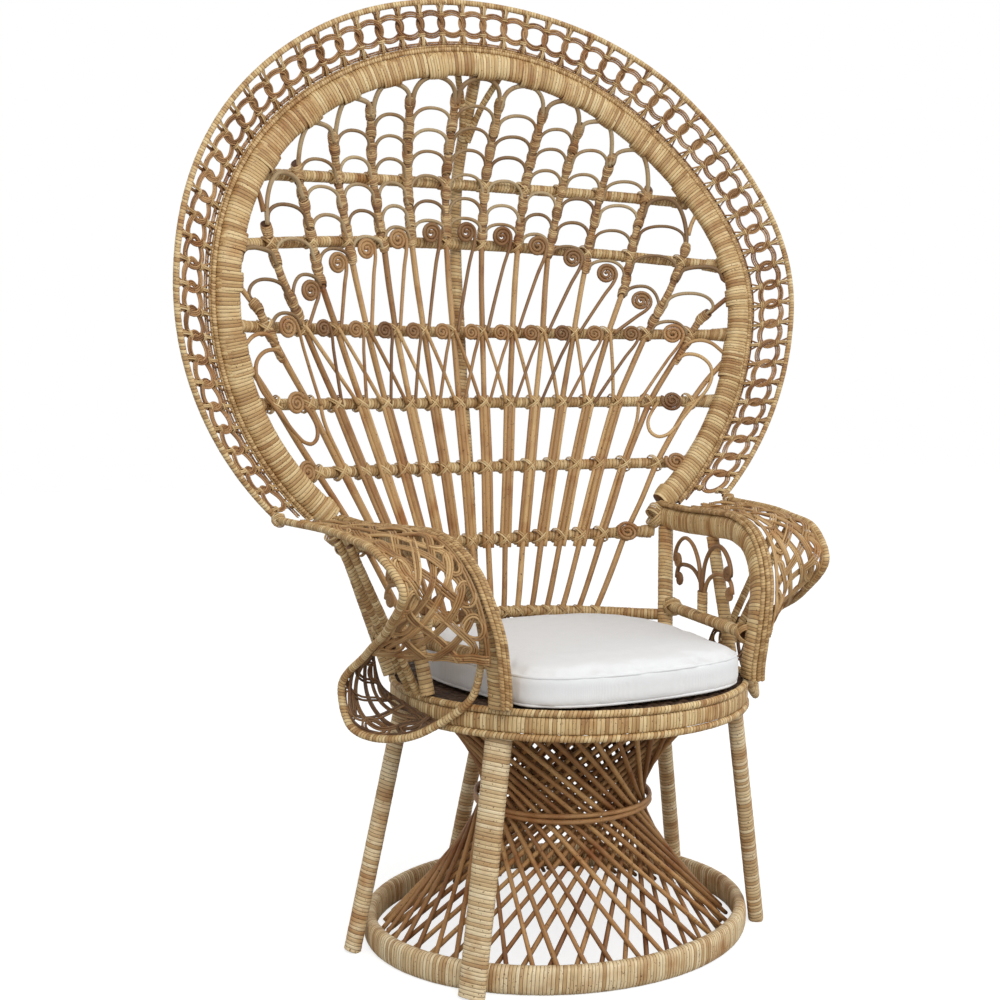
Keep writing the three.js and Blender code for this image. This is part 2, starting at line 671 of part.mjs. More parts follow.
// Big scrolls sit in the bays between the ribs, lower towards the sides.
const scrollHeightShares = [1, 0.975, 0.89, 0.775, 0.62, 0.34];

function scrollHeight(bay) {
  const share = scrollHeightShares[Math.abs(bay)];
  return THREE.MathUtils.lerp(scrollBarZ, scrollTopZ, share);
}

function ribLimit(x) {
  const shrink = HOOP_BAND_WIDTH * HALF + CLEARANCE + ARCH_CANE_RADIUS;
  const share = Math.min(Math.abs(x) / (HOOP_HALF_WIDTH - shrink), 1);
  return hoopWidestZ + (HOOP_UP - shrink) * Math.sqrt(1 - share * share);
}

// Scallop arches of one bay, from above its scroll to the hoop: the last one is the tallest.
function bayArches(bay) {
  const lowest = Math.abs(bay) < scrollHeightShares.length
    ? scrollHeight(bay) + SCROLL_RADIUS * 1.6
    : scrollBarZ + ARCH_PITCH;
  const ribEdge = (z) => (Math.abs(bay) + HALF) * fanSpacing(z) + RIB_HALF_WIDTH * 2;
  let highest = lowest;
  while (highest < ribLimit(ribEdge(highest))) highest += 1;
  const limit = Math.min(ribLimit(Math.abs(bay) * fanSpacing(highest)), ribLimit(0));
  const count = Math.max(1, Math.round((highest - lowest) / ARCH_PITCH - HALF));
  const arches = [];
  for (let k = 0; k < count; k += 1) {
    const foot = lowest + k * ARCH_PITCH;
    const last = k === count - 1;
    arches.push({ foot, rise: last ? limit - foot : ARCH_PITCH * 0.9 });
  }
  return arches;
}

const archShares = [[-0.5, 0], [-0.26, 0.9], [0.26, 0.9], [0.5, 0]];

function addRibLattice() {
  const parts = [];
  const tops = new Map();
  for (let bay = 1 - RIB_PAIRS; bay <= RIB_PAIRS - 1; bay += 1) {
    for (const { foot, rise } of bayArches(bay)) {
      const points = archShares.map(([out, up]) => {
        const drop = out * bay > 0 && up === 0 ? ARCH_DROP * Math.abs(bay) : 0;
        const z = foot + rise * up - drop;
        const x = (bay + out) * fanSpacing(z);
        return onDish(x, Math.min(z, ribLimit(x)));
      });
      parts.push(tube(linesThrough(points), ARCH_CANE_RADIUS, 3, archShares.length - 1));
      for (const rib of [bay - HALF, bay + HALF]) tops.set(rib, Math.max(tops.get(rib) ?? 0, foot));
    }
  }
  for (const [rib, top] of tops) {
    const corners = [];
    for (const share of [0, 0.33, 0.67, 1]) {
      const z = THREE.MathUtils.lerp(scrollBarZ, top + ARCH_CANE_RADIUS, share);
      corners.push(...levelCorners(onDish(rib * fanSpacing(z), z), RIB_HALF_WIDTH, RIB_HALF_DEPTH));
    }
    parts.push(loft(corners, 4));
  }
  addPiece('rib_lattice', fused(parts), STRAW);
}

// A big scroll: its stem rises from the rib on its left, passes the scroll on the right,
// and coils inwards over the top as one unbroken cane. All of them turn the same way.
function scrollPoints(bay) {
  const z0 = scrollHeight(bay);
  const x0 = bay * fanSpacing(z0);
  const slant = bay > 4 ? 1.4 : 1 + Math.max(-bay, 0) * 0.09;
  const forward = (RIB_HALF_DEPTH + SCROLL_CANE_RADIUS * SQUARE_FLAT + 3 * CLEARANCE) * slant;
  const footZ = scrollBarZ + (bay === 0 ? 10 : 2) * SCROLL_CANE_RADIUS;
  const footX = (bay - HALF) * fanSpacing(footZ);
  const points = [onDish(footX, footZ, forward)];
  const shoulderZ = z0 - SCROLL_RADIUS * 1.5;
  if (shoulderZ > footZ + SCROLL_RADIUS) {
    points.push(onDish(x0 + SCROLL_RADIUS * 0.8, shoulderZ, forward));
  }
  const steps = SCROLL_TURNS * 12;
  for (let i = 0; i <= steps; i += 1) {
    const turn = i / 12;
    const angle = 2 * Math.PI * turn;
    const radius = SCROLL_RADIUS - SCROLL_PITCH * turn;
    points.push(onDish(x0 + radius * Math.cos(angle), z0 + radius * Math.sin(angle), forward));
  }
  return points;
}

function leastScrollGap() {
  const points = curveThrough(scrollPoints(0)).getSpacedPoints(400);
  const apart = 2 * Math.PI * SCROLL_CANE_RADIUS;
  let least = Infinity;
  let walked = [0];
  for (let i = 1; i < points.length; i += 1) walked.push(walked[i - 1] + points[i].distanceTo(points[i - 1]));
  for (let i = 0; i < points.length; i += 1) {
    for (let k = i + 1; k < points.length; k += 1) {
      if (walked[k] - walked[i] > apart) least = Math.min(least, points[i].distanceTo(points[k]));
    }
  }
  return least - 2 * SCROLL_CANE_RADIUS;
}

function addScrolls() {
  const last = scrollHeightShares.length - 1;
  for (let bay = -last; bay <= last; bay += 1) {
    const geometry = tube(curveThrough(scrollPoints(bay)), SCROLL_CANE_RADIUS, 4, 25);
    addPiece(`scroll_${bay + last + 1}`, geometry, SCROLL_BROWN);
  }
  console.log(`least gap inside a scroll: ${leastScrollGap().toFixed(2)} mm`);
}

// Right arm, as points down the middle of its wide band; the left arm is its mirror image.
const armBack = hoopEnd.y - HOOP_BAND_DEPTH * HALF * OCTAGON_FLAT - 2 * CLEARANCE;
const armTopZ = SEAT_HEIGHT + ARM_ABOVE_SEAT;
const armRailZ = SEAT_HEIGHT + ARM_RAIL_ABOVE_SEAT;
const armFoot = polar(SEAT_RADIUS + ARM_FOOT_OUT, ARM_FOOT_ANGLE, standOnRim);
const armFall = armTopZ - standOnRim;
const armSpread = ARM_BACK_X - armFoot.x;
const armRun = armBack - armFoot.y;
const armLineShares = [
  [1, 1, 1], [0.93, 0.78, 0.985], [0.72, 0.47, 1], [0.57, 0.28, 1], [0.46, 0.155, 0.935],
  [0.33, 0.067, 0.81], [0.23, 0.017, 0.65], [0.12, -0.006, 0.467], [0.05, -0.006, 0.27], [0, 0, 0.07], [0, 0, 0],
];

function armPoint([xShare, yShare, zShare], outX = 0, outY = 0, outZ = 0) {
  return vec(
    armFoot.x + armSpread * xShare + outX,
    armFoot.y + armRun * yShare + outY,
    armFoot.z + armFall * zShare + outZ,
  );
}

function addArmFrame() {
  const path = armLineShares.map((share) => armPoint(share));
  const band = tube(curveThrough(path), ARM_BAND_WIDTH * HALF, 8, 19, ARM_BAND_DEPTH * HALF);
  addPair('arm_frame', band, STRAW);

  const away = ARM_BAND_WIDTH * HALF + ARM_EDGE_RADIUS + CLEARANCE;
  const turnShares = [0.02, 0, 0, 0.1, 0.42, 0.72, 0.92, 1, 1, 1, 1];
  const edge = armLineShares.map((share, i) => {
    const angle = turnShares[i] * Math.PI * HALF;
    return armPoint(share, 0, -away * Math.sin(angle), away * Math.cos(angle));
  });
  addPair('arm_edge_cane', tube(curveThrough(edge), ARM_EDGE_RADIUS, CANE_SIDES, 20), REDDISH);
}

const postFoot = polar(SEAT_RADIUS, SIDE_LEG_ANGLE, standOnRim);
const postTop = vec(
  armPoint(armLineShares[0]).x - 5 * CLEARANCE,
  armBack - ARM_POST_RADIUS * 1.6,
  armTopZ - ARM_BAND_WIDTH * HALF - 4 * CLEARANCE,
);

function addArmPosts() {
  addPair('arm_back_post', strut(postFoot, postTop, ARM_POST_RADIUS, ARM_POST_RADIUS, 0, 8), STRAW);
}

function railEnds() {
  const share = (armRailZ - postFoot.z) / (postTop.z - postFoot.z);
  const start = postFoot.clone().lerp(postTop, share);
  start.y -= ARM_POST_RADIUS + 2.8 * FACET_SAG;
  const end = armPoint([0.06, 0, 0], 0, ARM_BAND_WIDTH * HALF + 2 * CLEARANCE);
  end.z = armRailZ;
  return [start, end];
}

function addArmRail() {
  const [start, end] = railEnds();
  addPair('arm_lower_rail', tube(new THREE.LineCurve3(start, end), RAIL_RADIUS, 8, 1), STRAW);
}

// The fleur stands on the lower rail: a bound stem, four arched canes and their scrolls.
function addFleur() {
  const [start, end] = railEnds();
  const along = end.clone().sub(start).normalize();
  const foot = start.clone().lerp(end, 0.45);
  foot.z += RAIL_RADIUS * OCTAGON_FLAT + CLEARANCE;
  const at = (out, up) => foot.clone().addScaledVector(along, out).add(vec(0, 0, up));
  const headroom = armTopZ - ARM_BAND_WIDTH * HALF - foot.z - FLEUR_CANE_RADIUS - 2 * CLEARANCE;
  const stemHeight = headroom * 0.35;
  const parts = [strut(foot, at(0, stemHeight), FLEUR_STEM_RADIUS, FLEUR_STEM_RADIUS, 0, 6)];
  const reach = start.distanceTo(end) * 0.4;
  const caneShares = [[0, 0.25], [0.1, 0.66], [0.35, 0.9], [0.68, 1], [0.94, 0.8]];
  for (const side of [-1, 1]) {
    for (const heightShare of [1, 0.66]) {
      const path = caneShares.map(([out, up]) => at(side * out * reach, up * headroom * heightShare));
      parts.push(tube(linesThrough(path), FLEUR_CANE_RADIUS, 4, 4));
      const disc = new THREE.CylinderGeometry(FLEUR_SCROLL_RADIUS, FLEUR_SCROLL_RADIUS, 2 * FLEUR_CANE_RADIUS, 6);
      disc.rotateZ(Math.PI / 2).rotateZ(Math.atan2(-along.x, along.y));
      const centre = at(side * 0.9 * reach, heightShare * headroom * 0.73);
      parts.push(disc.translate(centre.x, centre.y, centre.z));
    }
  }
  addPair('arm_fleur', fused(parts), TAN);
}

// The wing's rim runs from the border's end, forward beside the arm, rolls under and
// back, and comes round again to the arm's foot. It grows with the arm's spread and run.
const wingSpreadShare = 2.3128;
const wingRunShare = 0.53144;
const wingRimShares = [
  [1.01, 1.66, 1.13], [0.853, 0.605, 1.084], [0.8, 0.232, 1.015], [0.721, 0, 0.812],
  [0.71, 0.263, 0.541], [0.695, 0.716, 0.29], [0.774, 1, 0.023], [0.747, 0.905, -0.219],
  [0.474, 0.542, -0.263], [0.274, 0.342, -0.135], [0.116, 0.132, 0.097],
];
const WING_LOBES_MEET = 5;

function wingPoint([xShare, yShare, zShare]) {
  return vec(
    armFoot.x + armSpread * wingSpreadShare * xShare,
    armFoot.y + armRun * wingRunShare * yShare,
    armFoot.z + armFall * zShare,
  );
}

function addWing() {
  const rim = curveThrough(wingRimShares.map(wingPoint));
  addPair('wing_rim', tube(rim, WING_RIM_RADIUS, CANE_SIDES, 30), STRAW);

  const upperInner = [
    [0.51, 1.53, 1.1], [0.42, 1.105, 1.108], [0.363, 0.79, 1.118], [0.31, 0.474, 1.108],
    [0.268, 0.195, 1.03], [0.221, 0.01, 0.872], [0.174, -0.084, 0.689], [0.132, -0.126, 0.467],
    [0.1, -0.105, 0.295],
  ];
  const upperOuter = [[0.99, 1.58, 1.128], ...wingRimShares.slice(1, WING_LOBES_MEET + 1)];
  const lowerInner = [
    [0.56, 0.5, 0.36], [0.56, 0.78, 0.3], [0.468, 1.105, 0.171], [0.416, 1.13, -0.001], [0.36, 0.947, -0.085],
  ];
  const lowerOuter = wingRimShares.slice(WING_LOBES_MEET - 1, WING_LOBES_MEET + 5);
  const panel = fused([shell(upperInner, upperOuter, 12), shell(lowerInner, lowerOuter, 10)]);
  addPair('wing_panel', panel, TAN);
}

// A thin bent panel between two edge curves, closed all round.
function shell(innerShares, outerShares, steps) {
  const inner = curveThrough(innerShares.map(wingPoint)).getSpacedPoints(steps);
  const outer = curveThrough(outerShares.map(wingPoint)).getSpacedPoints(steps);
  const half = WING_THICKNESS * HALF;
  const insideRim = WING_RIM_RADIUS + WING_THICKNESS * 1.8;
  outer.forEach((point, i) => point.lerp(inner[i], insideRim / point.distanceTo(inner[i])));
  const corners = [];
  for (let i = 0; i <= steps; i += 1) {
    const along = inner[Math.min(i + 1, steps)].clone().sub(inner[Math.max(i - 1, 0)]);
    const across = outer[i].clone().sub(inner[i]);
    const normal = along.cross(across).normalize().multiplyScalar(half);
    corners.push(inner[i].clone().add(normal), outer[i].clone().add(normal));
    corners.push(outer[i].clone().sub(normal), inner[i].clone().sub(normal));
  }
  const faces = [0, 1, 2, 0, 2, 3];
  for (let i = 0; i < steps; i += 1) {
    for (let k = 0; k < 4; k += 1) {
      const a = 4 * i + k;
      const b = 4 * i + ((k + 1) % 4);
      faces.push(a, a + 4, b, b, a + 4, b + 4);
    }
  }
  const last = 4 * steps;
  faces.push(last, last + 2, last + 1, last, last + 3, last + 2);
  const geometry = new THREE.BufferGeometry().setFromPoints(corners);
  geometry.setIndex(faces);
  return geometry;
}

// Slanted poles from under the wing to the side of the seat.
function addStays() {
  const rim = curveThrough(wingRimShares.slice(0, 3).map(wingPoint));
  const stays = [['arm_stay_1', 0.42, 88], ['arm_stay_2', 0.54, 83]];
  for (const [name, alongRim, degrees] of stays) {
    const top = rim.getPoint(alongRim);
    top.z -= WING_RIM_RADIUS + STAY_RADIUS * HALF;
    const foot = polar(SEAT_RADIUS, THREE.MathUtils.degToRad(degrees), standOnRim);
    addPair(name, strut(foot, top, STAY_RADIUS, STAY_RADIUS, 0, 6), STRAW);
  }
  const under = armTopZ - ARM_BAND_WIDTH * HALF - CLEARANCE;
  const top = armPoint([0.75, 0.5, 0]).setZ(under);
  const foot = polar(SEAT_RADIUS, THREE.MathUtils.degToRad(77), standOnRim);
  addPair('arm_side_post', strut(foot, top, SIDE_POST_RADIUS, SIDE_POST_RADIUS, 0, 8), STRAW);
}

addBaseRing();
addLegs();
addHourglass();
addSeat();
addCushion();
addHoops();
addRingBorder();
addCrossbars();
addSpine();
addStakeFan();
addRibLattice();
addScrolls();
addArmFrame();
addArmPosts();
addArmRail();
addFleur();
addWing();
addStays();

// The origin is under the middle of the whole chair.
const extent = new THREE.Box3().setFromObject(chair);
chair.position.y = -(extent.min.y + extent.max.y) * HALF;

export default chair;
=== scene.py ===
import math
import random

import bpy
import numpy as np
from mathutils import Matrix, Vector
from mathutils.bvhtree import BVHTree


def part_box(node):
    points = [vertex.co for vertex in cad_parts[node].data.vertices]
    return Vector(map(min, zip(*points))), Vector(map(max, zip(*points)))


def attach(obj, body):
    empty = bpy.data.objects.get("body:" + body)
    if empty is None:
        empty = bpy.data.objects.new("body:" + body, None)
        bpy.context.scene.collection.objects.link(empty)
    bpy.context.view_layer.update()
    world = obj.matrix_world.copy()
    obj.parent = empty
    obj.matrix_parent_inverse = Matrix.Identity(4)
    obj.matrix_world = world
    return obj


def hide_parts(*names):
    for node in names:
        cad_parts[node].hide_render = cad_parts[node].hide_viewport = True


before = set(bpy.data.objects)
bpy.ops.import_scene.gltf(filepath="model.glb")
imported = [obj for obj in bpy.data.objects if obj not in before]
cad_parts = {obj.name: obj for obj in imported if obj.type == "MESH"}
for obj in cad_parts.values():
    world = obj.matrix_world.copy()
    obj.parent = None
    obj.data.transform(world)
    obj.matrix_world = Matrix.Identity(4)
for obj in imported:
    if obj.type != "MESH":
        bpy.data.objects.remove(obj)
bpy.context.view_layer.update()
scene = bpy.context.scene
chance = random.Random(7)

# Base ring: a thick oval of bent rattan on the floor, wound all the way round with flat
# strips of pale peel. Its functions wind or bend every other pole of the chair too:
# points in millimetres become one even path, and the path becomes a ridged surface.
FULL_TURN = 2 * math.pi


def spline(points, closed=False):
    p = np.array(points, float)
    if closed:
        p = np.vstack([p[-1:], p, p[:2]])
    span = np.linalg.norm(np.diff(p, axis=0), axis=1)[:, None]
    slope = np.diff(p, axis=0) / span
    inside = (slope[:-1] * span[1:] + slope[1:] * span[:-1]) / (span[1:] + span[:-1])
    lean = np.vstack([slope[:1], inside, slope[-1:]])
    first, last = (1, len(p) - 2) if closed else (0, len(p) - 1)
    t = np.linspace(0, 1, 12, endpoint=False)[:, None]
    t2, t3 = t * t, t * t * t
    out = []
    for i in range(first, last):
        out.append((2 * t3 - 3 * t2 + 1) * p[i] + (t3 - 2 * t2 + t) * span[i] * lean[i]
                   + (3 * t2 - 2 * t3) * p[i + 1] + (t3 - t2) * span[i] * lean[i + 1])
    return np.vstack(out + [p[last:last + 1]])


def walked(path):
    return np.concatenate([[0], np.cumsum(np.linalg.norm(np.diff(path, axis=0), axis=1))])


def at_distance(path, distance):
    s = walked(path)
    return np.stack([np.interp(distance, s, path[:, k]) for k in range(3)], axis=1)


def unit(v):
    v = np.array(v, float)
    return v / (np.linalg.norm(v) + 1e-9)


def headings(path, side=None, closed=False):
    """Tangent and two cross directions at each point; side keeps a flat face one way."""
    tangent = np.gradient(path, axis=0)
    if closed:
        tangent[0] = path[1] - path[-1]
        tangent[-1] = path[0] - path[-2]
        if np.linalg.norm(path[0] - path[-1]) < 1e-3:
            tangent[0] = tangent[-1] = path[1] - path[-2]
    tangent /= np.linalg.norm(tangent, axis=1)[:, None] + 1e-9
    if side is None:
        across = np.cross(tangent[0], (0.31, 0.52, 0.79))
        rows = []
        for t in tangent:
            across = across - t * (across @ t)
            across /= np.linalg.norm(across) + 1e-9
            rows.append(across)
        normal = np.array(rows)
    else:
        normal = np.broadcast_to(np.array(side, float), path.shape)
        normal = normal - tangent * np.sum(normal * tangent, axis=1)[:, None]
        normal /= np.linalg.norm(normal, axis=1)[:, None] + 1e-9
    return tangent, normal, np.cross(tangent, normal)


def skin(rings, closed=False, capped=True):
    """Quads that join rings of points, and a face at each end."""
    count, sides = rings.shape[:2]
    index = np.arange(count * sides).reshape(count, sides)
    low = index if closed else index[:-1]
    high = np.roll(index, -1, axis=0) if closed else index[1:]
    quads = np.stack([low, np.roll(low, -1, axis=1), np.roll(high, -1, axis=1), high], axis=-1)
    faces = quads.reshape(-1, 4).tolist()
    if capped and not closed:
        faces += [index[0, ::-1].tolist(), index[-1].tolist()]
    return rings.reshape(-1, 3), faces


TURN_SHAPE_SHARES = ((0.0, 0.0), (0.13, 0.85), (0.5, 1.0), (0.87, 0.85))


def squared(wave, power):
    """A cosine or sine that gives a section flatter sides; power 1 keeps it round."""
    return np.sign(wave) * np.abs(wave) ** power


def wound(points, wide, deep=None, pitch=5.3, side=None, sides=12, slant=0.3, closed=False,
          ridge=0.5, taper=None):
    """A pole wound with flat strips: each turn is a low ridge, a little askew."""
    deep = wide if deep is None else deep
    path = spline(points, closed)
    length = walked(path)[-1]
    turns = max(2, round(length / pitch))
    widths = np.array([1 + 0.3 * chance.random() for _ in range(turns)])
    starts = np.concatenate([[0], np.cumsum(widths)]) * length / widths.sum()
    distance, lift, turn = [], [], []
    for k in range(turns):
        proud = ridge * (0.7 + 0.6 * chance.random())
        for share, height in TURN_SHAPE_SHARES:
            distance.append(starts[k] + share * (starts[k + 1] - starts[k]))
            lift.append(height * proud)
            turn.append(k + share)
    distance.append(length)
    lift.append(0.0)
    turn.append(turns)
    centre = at_distance(path, np.array(distance))
    tangent, normal, binormal = headings(centre, side, closed)
    angle = np.linspace(0, FULL_TURN, sides, endpoint=False)
    square = 1.0 if abs(wide - deep) < 1 else 0.75
    cos = squared(np.cos(angle), square)[None, :, None]
    sin = squared(np.sin(angle), square)[None, :, None]
    lift = np.array(lift)[:, None, None] - ridge
    scale = 1.0
    if taper is not None:
        shares = np.linspace(0, 1, len(taper))
        scale = np.interp(np.array(distance) / length, shares, taper)[:, None, None]
    askew = slant * pitch * np.cos(angle + chance.random() * 0.6)[None, :, None]
    rings = (centre[:, None] + normal[:, None] * cos * (deep * scale + lift)
             + binormal[:, None] * sin * (wide * scale + lift) + tangent[:, None] * askew)
    verts, faces = skin(rings, capped=not closed)
    turn = np.array(turn) + chance.randrange(200) * 100
    grain = np.stack(np.broadcast_arrays(turn[:, None] * 6.3, np.cos(angle)[None] * deep * 0.09,
                                         np.sin(angle)[None] * wide * 0.09), axis=-1)
    return verts, faces, np.repeat(turn, sides), grain.reshape(-1, 3)


def cane(points, radius, sides=8, step=7.0, closed=False, deep=None, side=None, bent=True):
    """A bare cane of even thickness, with its grain along it."""
    path = spline(points, closed) if bent else np.array(points, float)
    length = walked(path)[-1]
    count = max(3, round(length / step) + 1)
    distance = np.linspace(0, length, count, endpoint=not closed)
    centre = at_distance(path, distance)
    tangent, normal, binormal = headings(centre, side, closed)
    angle = np.linspace(0, FULL_TURN, sides, endpoint=False)
    thick = radius * (1 + 0.05 * np.sin(distance / 37 + chance.random() * 6))[:, None, None]
    thin = thick if deep is None else thick * deep / radius
    rings = (centre[:, None] + normal[:, None] * np.cos(angle)[None, :, None] * thin
             + binormal[:, None] * np.sin(angle)[None, :, None] * thick)
    verts, faces = skin(rings, closed)
    name = chance.randrange(20000) + 0.5
    grain = np.stack(np.broadcast_arrays(
        distance[:, None] * 0.03, np.cos(angle)[None] * radius * 0.8,
        name % 97 + np.sin(angle)[None] * radius * 0.8), axis=-1)
    return verts, faces, np.full(len(verts), name), grain.reshape(-1, 3)


def tie(centre, along, across, reach, depth, strands=2, width=2.6):
    """Flat strips lashed over a crossing, some on each diagonal, as an X from the front."""
    along, across = unit(along), unit(across)
    out = unit(np.cross(along, across))
    one, other = unit(along + across), unit(along - across)
    turn = np.linspace(0, FULL_TURN, 14, endpoint=False)
    cos, sin = squared(np.cos(turn), 0.8)[:, None], squared(np.sin(turn), 0.8)[:, None]
    parts = []
    for run, aside in ((one, other), (other, one)):
        for k in range(strands):
            shift = (k - (strands - 1) / 2) * width * 1.05
            grow = 0.4 * k + 0.3 * chance.random()
            loop = (np.array(centre) + cos * run * (reach + grow) + sin * out * (depth + grow)
                    + aside * shift)
            parts.append(cane(loop, 0.7, sides=6, step=4.5, closed=True, deep=width / 2,
                              side=aside))
    return parts


def mirrored(part):
    verts, faces, turn, grain = part
    return verts * (-1, 1, 1), [face[::-1] for face in faces], turn + 37, grain + 11


BASE_CENTRE_BACK = 33.0
base_low, base_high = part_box("base_ring")
CHAIR_SHIFT = (base_low.y + base_high.y) * 500 - BASE_CENTRE_BACK


def in_frame(points):
    """The chair's own millimetres as metres in the CAD's frame."""
    return (points + np.array([0, CHAIR_SHIFT, 0])) / 1000


def in_scene(name, data):
    obj = bpy.data.objects.new(name, data)
    scene.collection.objects.link(obj)
    return obj


def place(name, parts, material, nodes, body="frame"):
    """Joins parts into one object, puts it where the frame has it, and ties it to its body."""
    faces, offset = [], 0
    for part in parts:
        faces += [[i + offset for i in face] for face in part[1]]
        offset += len(part[0])
    mesh = bpy.data.meshes.new(name)
    placed = in_frame(np.vstack([part[0] for part in parts]))
    placed[:, 2] = np.maximum(placed[:, 2], 0.0)
    mesh.from_pydata(placed.tolist(), [], faces)
    mesh.polygons.foreach_set("use_smooth", [True] * len(mesh.polygons))
    turn = np.concatenate([part[2] for part in parts]).astype(np.float32)
    grain = np.vstack([part[3] for part in parts]).astype(np.float32).ravel()
    mesh.attributes.new("turn", "FLOAT", "POINT").data.foreach_set("value", turn)
    mesh.attributes.new("grain", "FLOAT_VECTOR", "POINT").data.foreach_set("vector", grain)
    mesh.materials.append(material)
    obj = in_scene(name, mesh)
    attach(obj, body)
    if nodes:
        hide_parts(*nodes)


def tint(red, green, blue):
    """A colour on the picture scale, 0 to 255, as a linear colour."""
    shares = [c / 255 for c in (red, green, blue)]
    return tuple(c / 12.92 if c < 0.04 else ((c + 0.055) / 1.055) ** 2.4 for c in shares) + (1,)


def new_group(name, inputs, outputs):
    group = bpy.data.node_groups.new(name, "ShaderNodeTree")
    for label, kind in inputs:
        group.interface.new_socket(label, in_out="INPUT", socket_type="NodeSocket" + kind)
    for label, kind in outputs:
        group.interface.new_socket(label, in_out="OUTPUT", socket_type="NodeSocket" + kind)
    return group, group.nodes.new("NodeGroupInput"), group.nodes.new("NodeGroupOutput")


def node(tree, kind, links=(), **values):
    made = tree.nodes.new("ShaderNode" + kind)
    for key, value in values.items():
        setattr(made, key, value)
    for socket, source in links:
        if hasattr(source, "is_linked"):
            tree.links.new(source, made.inputs[socket])
        else:
            made.inputs[socket].default_value = source
    return made


def arithmetic(tree, kind, first, second=0.0):
    return node(tree, "Math", [(0, first), (1, second)], operation=kind).outputs[0]


def mapped(tree, value, low, high, to_low=0.0, to_high=1.0):
    return node(tree, "MapRange", [(0, value), (1, low), (2, high), (3, to_low),
                                   (4, to_high)]).outputs[0]


def blended(tree, kind, amount, first, second):
    return node(tree, "Mix", [(0, amount), (6, first), (7, second)], data_type="RGBA",
                blend_type=kind).outputs[2]


def noise(tree, vector, scale, detail):
    return node(tree, "TexNoise", [("Vector", vector), ("Scale", scale),
                                   ("Detail", detail)]).outputs["Fac"]


# One tone for each strip or cane, with painted shade: a dark line in the groove where two turns
# meet.
turn_tone, given, result = new_group(
    "turn tone", [("Pale", "Color"), ("Mid", "Color"), ("Deep", "Color"), ("Groove Shade", "Float")],
    [("Color", "Color")])
counted = node(turn_tone, "Attribute", attribute_name="turn").outputs["Fac"]
whole = arithmetic(turn_tone, "FLOOR", counted)
share = arithmetic(turn_tone, "SUBTRACT", counted, whole)
pick = node(turn_tone, "TexWhiteNoise", [("W", whole)], noise_dimensions="1D").outputs["Value"]
tone = blended(turn_tone, "MIX", mapped(turn_tone, pick, 0.0, 0.5), given.outputs["Deep"],
               given.outputs["Mid"])
tone = blended(turn_tone, "MIX", mapped(turn_tone, pick, 0.5, 1.0), tone, given.outputs["Pale"])
away = arithmetic(turn_tone, "ABSOLUTE", arithmetic(turn_tone, "SUBTRACT", share, 0.5))
shade = mapped(turn_tone, away, 0.36, 0.5)
shade = arithmetic(turn_tone, "MULTIPLY", shade, given.outputs["Groove Shade"])
# Painted shade: the groove's dark colour stands in for the shade in the hollow between turns.
tone = blended(turn_tone, "MULTIPLY", shade, tone, tint(112, 76, 46))
turn_tone.links.new(tone, result.inputs["Color"])

# Stains, fine fibres and small dark marks, as on all rattan.
fibre_marks, given, result = new_group(
    "fibre marks",
    [("Color", "Color"), ("Stain", "Float"), ("Specks", "Float"), ("Along", "Vector")],
    [("Color", "Color"), ("Height", "Float")])
spot = node(fibre_marks, "TexCoord").outputs["Object"]
cloud = mapped(fibre_marks, noise(fibre_marks, spot, 24.0, 3.0), 0.5, 0.75)
cloud = arithmetic(fibre_marks, "MULTIPLY", cloud, given.outputs["Stain"])
marked = blended(fibre_marks, "MULTIPLY", cloud, given.outputs["Color"], tint(205, 165, 120))
fibre = noise(fibre_marks, given.outputs["Along"], 1.0, 5.0)
streak = mapped(fibre_marks, fibre, 0.3, 0.7, 0.78, 1.12)
streaked = node(fibre_marks, "CombineColor", [(0, streak), (1, streak), (2, streak)]).outputs[0]
marked = blended(fibre_marks, "MULTIPLY", 1.0, marked, streaked)
speck = mapped(fibre_marks, noise(fibre_marks, spot, 330.0, 1.0), 0.68, 0.73)
speck = arithmetic(fibre_marks, "MULTIPLY", speck, given.outputs["Specks"])
marked = blended(fibre_marks, "MIX", speck, marked, tint(92, 58, 32))
fibre_marks.links.new(marked, result.inputs["Color"])
fibre_marks.links.new(fibre, result.inputs["Height"])


def new_finish(name):
    made = bpy.data.materials.new(name)
    made.use_nodes = True
    return made, made.node_tree, made.node_tree.nodes["Principled BSDF"]


def rattan(name, pale, mid, deep, groove_shade=0.0, stain=0.6, specks=0.8, roughness=0.5):
    """A rattan finish: a tone for each strip or cane, shade painted in its grooves, then stains,
    fibres and specks.
    """
    made, tree, shader = new_finish(name)
    tones = node(tree, "Group", [("Pale", tint(*pale)), ("Mid", tint(*mid)),
                                 ("Deep", tint(*deep)), ("Groove Shade", groove_shade)], node_tree=turn_tone)
    along = node(tree, "Attribute", attribute_name="grain").outputs["Vector"]
    marks = node(tree, "Group", [("Color", tones.outputs["Color"]), ("Stain", stain),
                                 ("Specks", specks), ("Along", along)], node_tree=fibre_marks)
    fibres = marks.outputs["Height"]
    relief = node(tree, "Bump", [("Height", fibres), ("Strength", 0.6), ("Distance", 0.0004)])
    tree.links.new(marks.outputs["Color"], shader.inputs["Base Color"])
    tree.links.new(relief.outputs["Normal"], shader.inputs["Normal"])
    tree.links.new(mapped(tree, fibres, 0.3, 0.7, roughness - 0.08, roughness + 0.12),
                   shader.inputs["Roughness"])
    shader.inputs["Specular IOR Level"].default_value = 0.4
    return made


PEEL = rattan("pale wound peel", (232, 206, 156), (214, 182, 128), (176, 136, 86),
              groove_shade=0.95, stain=0.8)
# A paler copy of the peel for the base ring and legs: partly a paler wrap, partly painted light.
PALE_AND_LIT_PEEL = rattan("pale peel with painted light", (244, 224, 184), (230, 204, 158), (196, 160, 112),
                    groove_shade=0.95, stain=0.8)
BASE_HALF_WIDTH, BASE_HALF_DEPTH, BASE_RING_HEIGHT, BASE_RING_THICKNESS = 297.0, 262.0, 40.0, 20.0


